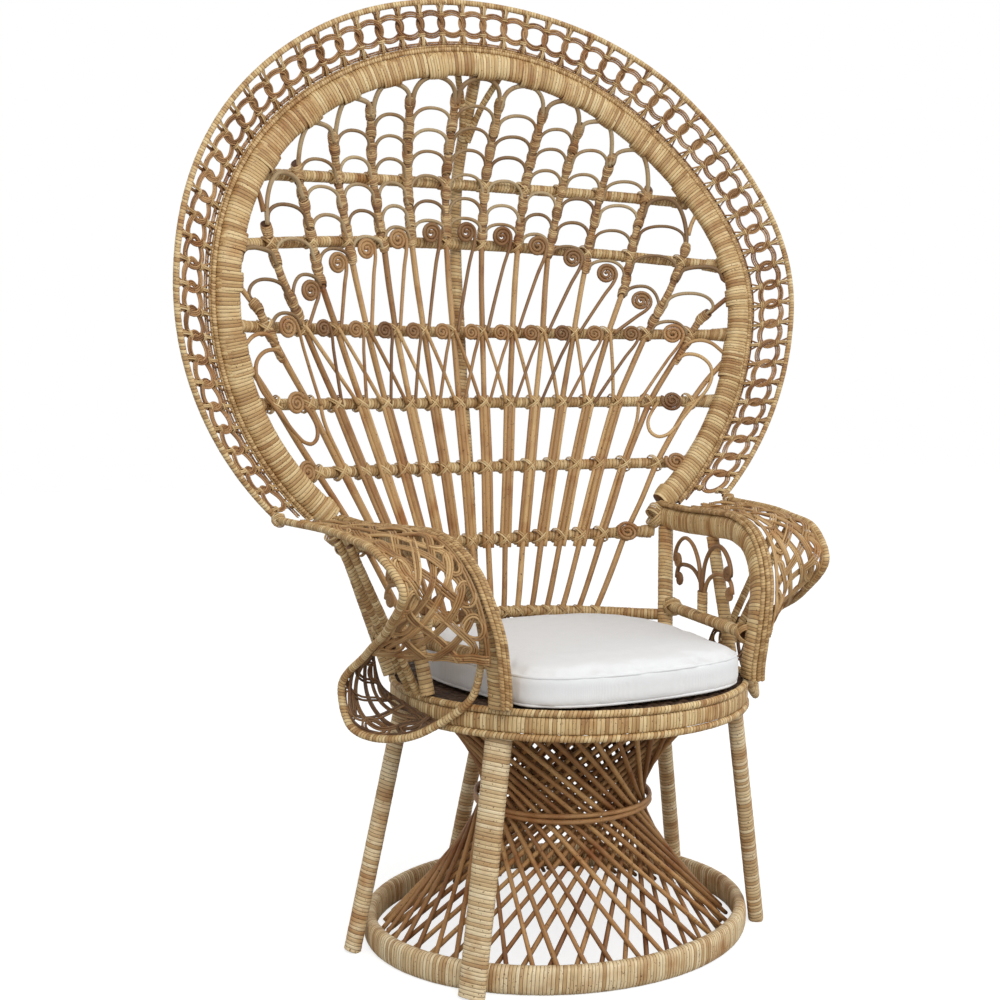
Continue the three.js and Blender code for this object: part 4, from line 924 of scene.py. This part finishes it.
for n in FAN_NUMBERS:
    up = unit(fan_point(n, 460) - fan_point(n, 430))
    ties += tie(fan_point(n, LOWER_RAIL_Z, 1.0), up, level, 11.5, 12.0)
place("back_lashings", ties, TIE, [])


# Arms: a wide wound band on each side, from the hoop's end forward and down to the seat, with
# wound canes along its outer edge. The left arm is the mirror image of the right.
ARM_FRONT_X, ARM_SPREAD, ARM_FRONT_Y, ARM_RUN = 203.0, 82.0, -170.0, 357.3
ARM_FOOT_Z, ARM_FALL = 395.3, 202.7
ARM_LINE_SHARES = ((1, 1, 1), (0.93, 0.78, 0.985), (0.72, 0.47, 1), (0.57, 0.28, 1),
                   (0.46, 0.155, 0.935), (0.33, 0.067, 0.81), (0.23, 0.017, 0.65),
                   (0.12, -0.006, 0.467), (0.05, -0.006, 0.27), (0, 0, 0.07), (0, 0, 0))
EDGE_TURN_SHARES = (0.02, 0, 0, 0.1, 0.42, 0.72, 0.92, 1, 1, 1, 1)
ACROSS_ARM = (0.975, -0.224, 0)


def arm_point(shares, out=(0, 0, 0)):
    return np.array([ARM_FRONT_X + ARM_SPREAD * shares[0], ARM_FRONT_Y + ARM_RUN * shares[1],
                     ARM_FOOT_Z + ARM_FALL * shares[2]]) + out


def both_sides(name, parts, material, node_name):
    place(name + "_right", parts, material, [node_name + "_right"] if node_name else [])
    place(name + "_left", [mirrored(part) for part in parts], material,
          [node_name + "_left"] if node_name else [])


band = [arm_point(shares) for shares in ARM_LINE_SHARES]
both_sides("arm_frame_wound", [wound(band, 17.6, 9.7, pitch=5.4, side=ACROSS_ARM, sides=20,
                                     ridge=0.7)], PEEL, "arm_frame")
parts = []
for aside, away, thick in ((-6.6, 21.4, 3.4), (0.0, 22.6, 3.6), (6.6, 21.4, 3.4)):
    path = []
    for shares, turn in zip(ARM_LINE_SHARES, EDGE_TURN_SHARES):
        angle = turn * math.pi / 2
        path.append(arm_point(shares, (aside * 0.975, -away * math.sin(angle) - aside * 0.224,
                                       away * math.cos(angle))))
    path[-1][2] = ARM_FOOT_Z + 1
    parts.append(wound(path, thick, pitch=4.6, sides=8, ridge=0.3))
both_sides("arm_edge_canes", parts, BROWN, "arm_edge_cane")


# Arm supports: a thick wound post under the hoop's end, a wound rail low between post and
# band, and slanted poles from the wing down to the seat rim.
RAIL_START, RAIL_FINISH = np.array([254.8, 106.8, 458.0]), np.array([207.9, -151.0, 458.0])
WING_REACH = 190.0
WING_RIM_SHARES = ((1.01, 1.66, 1.13), (0.853, 0.605, 1.084), (0.8, 0.232, 1.015),
                   (0.721, 0, 0.812), (0.71, 0.263, 0.541), (0.695, 0.716, 0.29),
                   (0.774, 1, 0.023), (0.747, 0.905, -0.219), (0.474, 0.542, -0.263),
                   (0.274, 0.342, -0.135), (0.116, 0.132, 0.097))


def wing_point(shares):
    return np.array([ARM_FRONT_X + WING_REACH * shares[0], ARM_FRONT_Y + WING_REACH * shares[1],
                     ARM_FOOT_Z + ARM_FALL * shares[2]])


def seat_foot(degrees):
    return polar(SEAT_RADIUS, degrees, ARM_FOOT_Z)


head = spline([wing_point(shares) for shares in WING_RIM_SHARES[:3]])
stay_tops = [head[int(share * (len(head) - 1))] - (0, 0, 9.75) for share in (0.42, 0.54)]
for name, foot, top, thick, pitch, sides, ridge in (
        ("arm_back_post", seat_foot(113), np.array([283.5, 167.3, 578.8]), 12.3, 5.6, 16, 0.6),
        ("arm_lower_rail", RAIL_START, RAIL_FINISH, 9.2, 5.6, 14, 0.6),
        ("arm_stay_1", seat_foot(88), stay_tops[0], 5.8, 4.8, 10, 0.5),
        ("arm_stay_2", seat_foot(83), stay_tops[1], 5.8, 4.8, 10, 0.5),
        ("arm_side_post", seat_foot(77), np.array([264.5, 8.7, 579.7]), 9.8, 5.6, 14, 0.5)):
    pole = wound([foot, (foot + top) / 2, top], thick, pitch=pitch, sides=sides, ridge=ridge)
    both_sides(name + "_wound", [pole], PEEL, name)


# Fleur: a wound stem that stands on the arm's lower rail and opens into four arched canes,
# each of which ends in a scroll.
along = unit(RAIL_FINISH - RAIL_START)
fleur_foot = RAIL_START + (RAIL_FINISH - RAIL_START) * 0.45 + (0, 0, 9.0)
reach = np.linalg.norm(RAIL_FINISH - RAIL_START) * 0.4
ARM_UNDERSIDE_Z = 580
headroom = ARM_UNDERSIDE_Z - fleur_foot[2] - 4.5
out_of_arm = unit(np.cross(along, (0, 0, 1)))


def fleur_point(side, out, up, proud=0.0):
    return fleur_foot + along * side * out * reach + np.array([0, 0, up]) + out_of_arm * proud


stem = [wound([fleur_point(1, 0, up) for up in (0, 16, 32)], 8.0, pitch=4.8, sides=14)]
leaves = []
for side in (-1, 1):
    for height, low, radius, proud in ((1.0, 0.64, 11.0, 1.6), (0.6, 0.36, 10.0, -1.6)):
        centre = fleur_point(side, 0.86, headroom * low, proud)
        turns = coil(lambda a, b: centre + along * side * a + np.array([0, 0, b]), radius, 4.4, 1.9)
        path = [fleur_point(side, out, up * headroom * height, proud)
                for out, up in ((0.0, 0.1), (0.03, 0.42), (0.12, 0.72), (0.32, 0.93), (0.6, 1.0))]
        path += [centre + along * side * radius * math.cos(t)
                 + np.array([0, 0, radius * math.sin(t) + extra])
                 for t, extra in ((1.1, 9.0), (0.5, 4.0))]
        leaves.append(cane(path + turns, 3.3, step=4.5))
both_sides("fleur_canes", leaves, SCROLL, "arm_fleur")
both_sides("fleur_stem", stem, PEEL, "arm_fleur")


# Wings: a pale wound rim that rolls forward, down and back beside each arm, and runs up the
# arm's outer edge. Bands of parallel canes are laced between rim and arm.
rim_path = [wing_point(shares) for shares in WING_RIM_SHARES]
rim_path += [np.array(p, float) for p in ((222, -151, 440), (221, -158, 470), (224, -157, 500),
                                          (232, -149, 542), (243, -128, 575), (254, -88, 594))]
both_sides("wing_rim_wound", [wound(rim_path, 5.4, pitch=4.8, sides=10,
                                    taper=(1,) * 9 + (0.8, 0.6))],
           PEEL, "wing_rim")
UPPER_INNER = ((0.51, 1.53, 1.1), (0.42, 1.105, 1.108), (0.363, 0.79, 1.118), (0.31, 0.474, 1.108),
               (0.268, 0.195, 1.03), (0.221, 0.01, 0.872), (0.174, -0.084, 0.689),
               (0.132, -0.126, 0.467), (0.1, -0.105, 0.295))
LOWER_INNER = ((0.56, 0.5, 0.36), (0.56, 0.78, 0.3), (0.468, 1.105, 0.171), (0.416, 1.13, -0.001),
               (0.36, 0.947, -0.085))
UPPER_OUTER = ((0.99, 1.58, 1.128),) + WING_RIM_SHARES[1:6]
LOWER_OUTER = WING_RIM_SHARES[4:10]


def knot_weave(inner_shares, outer_shares, cells, canes, gap, radius):
    """Bands of canes over the sheet between two lines: crossing zigzags, and edge loops."""
    inner = spline([wing_point(shares) for shares in inner_shares])
    outer = spline([wing_point(shares) for shares in outer_shares])
    steps = np.linspace(0, 1, 60)
    low = at_distance(inner, steps * walked(inner)[-1])
    high = at_distance(outer, steps * walked(outer)[-1])
    length = walked((low + high) / 2)[-1]
    width = np.linalg.norm(high - low, axis=1)
    normal = np.cross(np.gradient((low + high) / 2, axis=0), high - low)
    normal /= np.linalg.norm(normal, axis=1)[:, None] + 1e-9

    def on_sheet(flat, proud):
        """flat holds millimetres along the sheet and shares across it."""
        u = np.clip(flat[:, 0] / length, 0, 1)
        v = np.clip(flat[:, 1], -0.02, 0.98)[:, None]
        pick = [np.stack([np.interp(u, steps, field[:, k]) for k in range(3)], axis=1)
                for field in (low, high, normal)]
        return pick[0] + (pick[1] - pick[0]) * v + pick[2] * proud[:, None]

    def band(flat, phase, closed=False, count=canes, weave=2.6):
        wide = np.interp(flat[:, 0], steps * length, width)
        real = np.stack([flat[:, 0], flat[:, 1] * wide], axis=1)
        heading = np.gradient(real, axis=0)
        if closed:
            heading = np.roll(real, -1, axis=0) - np.roll(real, 1, axis=0)
        heading /= np.linalg.norm(heading, axis=1)[:, None] + 1e-9
        for c in range(count):
            aside = (c - (count - 1) / 2) * gap
            moved = real + np.stack([-heading[:, 1], heading[:, 0]], axis=1) * aside
            moved[:, 1] /= wide
            made.append(cane(on_sheet(moved, weave * np.sin(phase)), radius, sides=6, step=4.5,
                             closed=closed))

    made = []
    cell = length / cells
    along = np.linspace(0.01, 0.99, 16 * cells) * length
    for start in np.arange(6) / 3:
        wave = 0.5 + 0.43 * np.arcsin(0.97 * np.sin(math.pi * (along / cell + start))) * 2 / math.pi
        band(np.stack([along, wave], axis=1), math.pi * (3 * along / cell + 4 * start))
    turn = np.linspace(0, FULL_TURN, 22, endpoint=False)
    for k in range(3 * cells - 1):
        for across in (0.13, 0.84):
            centre = (k + (0.5 if across < 0.5 else 1.0)) * cell / 3 + cell * 0.12
            flat = np.stack([centre + cell * 0.115 * np.cos(turn),
                             across + 0.1 * np.sin(turn)], axis=1)
            band(flat, 2 * turn + k, True, 2, weave=-1.8)
    for v in (0.03, 0.93):
        flat = np.stack([along, np.full(len(along), v)], axis=1)
        band(flat, np.zeros(len(along)), count=2)
    across = np.linspace(0.02, 0.95, 30)
    flat = np.stack([np.full(30, length - 2.2 * gap), across], axis=1)
    band(flat, 30 * across, count=4, weave=1.2)
    return made


WEAVE = rattan("wing weave cane", (214, 180, 128), (190, 152, 102), (150, 112, 70),
               stain=0.9, specks=0.8)
both_sides("wing_weave", knot_weave(UPPER_INNER, UPPER_OUTER, 3, 3, 3.7, 1.75), WEAVE,
           "wing_panel")
# The lower curl's weave: a darker copy of the wing weave, as painted shade on the curl.
SHADED = rattan("wing cane with painted shade", (142, 108, 72), (112, 82, 54), (80, 58, 38),
                stain=0.9, specks=0.5)
both_sides("wing_curl_weave", knot_weave(LOWER_INNER, LOWER_OUTER, 2, 2, 4.0, 1.8), SHADED,
           "wing_panel")

# Each arm's own lashings, and the wound foot of the hoop beside it.
ties = tie(rim_path[0], (0.2, 1, 0.1), (0, 0, 1), 10, 8, strands=3)
hoop_foot = [hoop_point(HOOP_END - short, -1.0, 0.5) for short in (3.2, 2.1, 1.0, 0)]
ties.append(wound(hoop_foot, 20.6, 13.6, pitch=4.6, side=(0, 1, 0), sides=20, ridge=0.8,
                  taper=(1.0, 1.0, 0.96, 0.8)))
ties += tie(arm_point(ARM_LINE_SHARES[0], (0, 2, 0)), (0, 0.2, 1), ACROSS_ARM, 22, 21, strands=4,
            width=4.0)
ties += tie(RAIL_START + (0, -3, 0), along, (0, 0, 1), 15, 13, strands=3, width=3.2)
ties += tie(RAIL_FINISH + (0, -2, 0), along, (0, 0, 1), 16, 12, strands=3, width=3.2)
both_sides("arm_lashings", ties, TIE, "")


# Cushion: a boxed cushion of white cotton, a square with well rounded corners, with a corded
# seam round its top and foot. It is stuffed until it crowns, and only lies on the deck.
CUSHION_FOOT, CUSHION_SHOULDER, CUSHION_CROWN_Z = 393.2, 438.9, 454.0
CUSHION_WIDE, CUSHION_DEEP, CUSHION_BACK = 222.0, 230.0, -20.0
CUSHION_VOXEL, MOST_BULGE = 0.006, 0.006
cotton, tree, shader = new_finish("white cotton")
spot = node(tree, "TexCoord").outputs["Object"]
threads = [node(tree, "TexWave", [("Vector", spot), ("Scale", 420.0), ("Distortion", 0.6)],
                bands_direction=way).outputs["Fac"] for way in "XY"]
cloth = arithmetic(tree, "MULTIPLY", *threads)
slub = noise(tree, spot, 60.0, 6.0)
shade = blended(tree, "MIX", slub, tint(235, 236, 237), tint(243, 244, 245))
between = mapped(tree, cloth, 0.0, 1.0, 0.25, 0.0)
shade = blended(tree, "MULTIPLY", between, shade, tint(230, 230, 228))
tree.links.new(shade, shader.inputs["Base Color"])
height = arithmetic(tree, "ADD", arithmetic(tree, "MULTIPLY", cloth, 0.3), slub)
relief = node(tree, "Bump", [("Height", height), ("Strength", 0.35), ("Distance", 0.0008)])
tree.links.new(relief.outputs["Normal"], shader.inputs["Normal"])
tree.links.new(mapped(tree, slub, 0.3, 0.7, 0.82, 0.94), shader.inputs["Roughness"])
shader.inputs["Sheen Weight"].default_value = 0.15
shader.inputs["Specular IOR Level"].default_value = 0.25

PROFILE = ((0.0, 0.0), (0.3, 0.0), (0.6, 0.0), (0.85, 0.0), (0.955, 0.4), (0.972, 4.0),
           (0.975, 12.0), (0.972, 22.0), (0.975, 32.0), (0.972, 41.0), (0.955, 45.0), (0.9, 48.0),
           (0.8, 51.0), (0.6, 54.5), (0.35, 57.0), (0.15, 58.0), (0.0, 58.3))
OUTLINE_SHARES = ((0, -1), (0.28, -0.985), (0.54, -0.93), (0.73, -0.84), (0.825, -0.74),
                  (0.86, -0.63), (0.89, -0.5), (0.925, -0.34), (0.962, -0.15), (0.988, 0.05),
                  (0.985, 0.28), (0.94, 0.52), (0.84, 0.71), (0.67, 0.86), (0.44, 0.955),
                  (0.2, 0.992), (0, 1))
right_side = [(CUSHION_WIDE * x, CUSHION_DEEP * y, 0) for x, y in OUTLINE_SHARES]
outline = spline(right_side + [(-x, y, 0) for x, y, _ in right_side[-2:0:-1]], True)
around = 96
spacing = np.linspace(0, walked(outline)[-1], around, endpoint=False)
outline = at_distance(outline, spacing)[:, :2]


def cushion_point(x, y, z):
    return (x, CUSHION_BACK + y, CUSHION_FOOT + 0.8 + z)


rings = [[cushion_point(x * r, y * r, z) for x, y in outline] for r, z in PROFILE[1:-1]]
verts, faces = skin(np.array(rings), capped=False)
foot, crown, top_ring = len(verts), len(verts) + 1, len(verts) - around
verts = np.vstack([verts, [cushion_point(0, 0, z) for _, z in (PROFILE[0], PROFILE[-1])]])
for a in range(around):
    b = (a + 1) % around
    faces += [(foot, b, a), (crown, top_ring + a, top_ring + b)]
mesh = bpy.data.meshes.new("seat_cushion_pad")
mesh.from_pydata(in_frame(verts).tolist(), [], faces)
pad = in_scene("seat_cushion_pad", mesh)


def corners(obj):
    return np.array([v.co[:] for v in obj.data.vertices])


def bake(obj):
    """Gives the object the mesh that its modifiers make of it."""
    graph = bpy.context.evaluated_depsgraph_get()
    new_mesh = bpy.data.meshes.new_from_object(obj.evaluated_get(graph))
    obj.modifiers.clear()
    obj.data = new_mesh


voxels = pad.modifiers.new("remesh", "REMESH")
voxels.mode = "VOXEL"
voxels.voxel_size = CUSHION_VOXEL
bake(pad)
start = corners(pad)
stuffing = pad.modifiers.new("cloth", "CLOTH")
stuffing.settings.quality = 4
stuffing.settings.use_pressure = True
stuffing.settings.uniform_pressure_force = 4.0
stuffing.settings.effector_weights.gravity = 0.0
stuffing.settings.shrink_min = -0.012
for step in range(1, 21):
    scene.frame_set(step)
bake(pad)
scene.frame_set(1)
moved = corners(pad)
shift = moved - start
far = np.linalg.norm(shift, axis=1, keepdims=True)
moved = start + shift * np.minimum(1.0, MOST_BULGE / np.maximum(far, 1e-9))
moved[:, 2] = np.clip(moved[:, 2], CUSHION_FOOT / 1000, CUSHION_CROWN_Z / 1000)
flat = moved[:, :2] * 1000 - (0, CUSHION_BACK + CHAIR_SHIFT)
facing = np.arctan2(flat[:, 0], -flat[:, 1])
bearing = np.arctan2(outline[:, 0], -outline[:, 1])
order = np.argsort(bearing)
limit = np.interp(facing, bearing[order], np.hypot(*outline[order].T), period=FULL_TURN)
squeeze = np.minimum(1.0, 0.992 * limit / np.maximum(np.hypot(*flat.T), 1e-6))[:, None]
moved[:, :2] = (flat * squeeze + (0, CUSHION_BACK + CHAIR_SHIFT)) / 1000
pad.data.vertices.foreach_set("co", moved.ravel())
pad.data.update()
rounder = pad.modifiers.new("soften", "SUBSURF")
rounder.levels = rounder.render_levels = 1
bake(pad)
co = corners(pad) * 1000 - (0, CHAIR_SHIFT, 0)
angle = np.arctan2(co[:, 0], -(co[:, 1] - CUSHION_BACK))
reach = np.hypot(co[:, 0] / CUSHION_WIDE, (co[:, 1] - CUSHION_BACK) / CUSHION_DEEP)
near_top = np.exp(-((co[:, 2] - CUSHION_SHOULDER) / 7.0) ** 2) * (reach > 0.8)
pucker = np.zeros(len(co))
for count in (31, 47, 74):
    pucker += math.sqrt(31 / count) * np.sin(count * angle + chance.random() * 6)
below_seam = np.exp(-((co[:, 2] - CUSHION_SHOULDER - 3) / 4.0) ** 2) * (reach > 0.9)
co[:, 2] += near_top * pucker * 0.5 - below_seam * 1.2
sag = 2.2 * np.sin(3 * angle + 0.7) * reach ** 2 + 1.5 * np.sin(2 * angle + 2.1) * reach
co[:, 2] += np.where(co[:, 2] > 430, sag * 0.5, 0)
pad.data.vertices.foreach_set("co", in_frame(co).ravel())
pad.data.polygons.foreach_set("use_smooth", [True] * len(pad.data.polygons))
pad.data.materials.clear()
pad.data.materials.append(cotton)
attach(pad, "cushion")
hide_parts("seat_cushion")

surface = BVHTree.FromPolygons([v.co for v in pad.data.vertices],
                               [p.vertices for p in pad.data.polygons])
middle_y = (CUSHION_BACK + CHAIR_SHIFT) / 1000
for name, height in (("cushion_piping_top", CUSHION_SHOULDER - 3.0),
                     ("cushion_piping_foot", CUSHION_FOOT + 5.0)):
    loop = []
    for a in range(0, 360, 4):
        angle = math.radians(a)
        wave = 0.9 * math.sin(3 * angle + 0.7)
        outside = Vector((0.3 * math.sin(angle), middle_y - 0.3 * math.cos(angle),
                          (height + wave) / 1000))
        hit = surface.ray_cast(outside, Vector((-math.sin(angle), math.cos(angle), 0)))[0]
        loop.append(np.array(hit) * 1000 - (0, CHAIR_SHIFT, 0)
                    - np.array([math.sin(angle), -math.cos(angle), 0]) * 0.6)
    place(name, [cane(loop, 2.3, step=3.5, closed=True)], cotton, ["seat_cushion"],
          "cushion")


# Studio: a pale floor that keeps the chair's soft shadow, a white surround, one broad lamp
# and a soft fill, and the camera where the photograph was taken from.
floor_mesh = bpy.data.meshes.new("studio_floor")
floor_mesh.from_pydata([(-9, -9, 0), (9, -9, 0), (9, 9, 0), (-9, 9, 0)], [], [(0, 1, 2, 3)])
floor = in_scene("studio_floor", floor_mesh)
paper, tree, shader = new_finish("studio paper")
shader.inputs["Base Color"].default_value = (0.45, 0.45, 0.45, 1)
shader.inputs["Roughness"].default_value = 0.9
shader.inputs["Specular IOR Level"].default_value = 0.1
seen = node(tree, "LightPath").outputs["Is Camera Ray"]
glow = node(tree, "Emission", [("Color", (1, 1, 1, 1)),
                               ("Strength", arithmetic(tree, "MULTIPLY", seen, 0.74))])
sum_of = node(tree, "AddShader", [(0, shader.outputs[0]), (1, glow.outputs[0])])
tree.links.new(sum_of.outputs[0], tree.nodes["Material Output"].inputs["Surface"])
floor_mesh.materials.append(paper)

world = bpy.data.worlds.new("studio")
scene.world = world
world.use_nodes = True
tree = world.node_tree
back = tree.nodes["Background"]
rays = node(tree, "LightPath")
mirrored_rays = arithmetic(tree, "MAXIMUM", rays.outputs["Is Glossy Ray"],
                           rays.outputs["Is Transmission Ray"])
seen = arithmetic(tree, "MAXIMUM", rays.outputs["Is Camera Ray"], mirrored_rays)
back.inputs["Color"].default_value = (1, 1, 1, 1)
tree.links.new(mapped(tree, seen, 0.0, 1.0, 0.62, 1.0), back.inputs["Strength"])

for name, spot, aim, size, power in (("key_lamp", (-0.9, -2.9, 2.8), (0, 0, 0.6), 1.8, 60.0),
                                     ("fill_lamp", (2.6, -1.9, 2.0), (0, 0, 0.7), 2.4, 27.0)):
    light = bpy.data.lights.new(name, "AREA")
    light.size = size
    light.energy = power
    lamp = in_scene(name, light)
    lamp.location = spot
    lamp.rotation_euler = (Vector(aim) - Vector(spot)).to_track_quat("-Z", "Y").to_euler()

CAMERA_TILT, CAMERA_TURN = 4.731, 27.378
camera = bpy.data.cameras.new("camera")
camera.lens = 52.2
camera.sensor_width = 36.0
eye = in_scene("camera", camera)
eye.location = (-1.0639, -1.8354 + CHAIR_SHIFT / 1000, 0.824)
eye.rotation_euler = (math.radians(90 - CAMERA_TILT), 0, math.radians(-CAMERA_TURN))
scene.camera = eye
scene.view_settings.view_transform = "Standard"
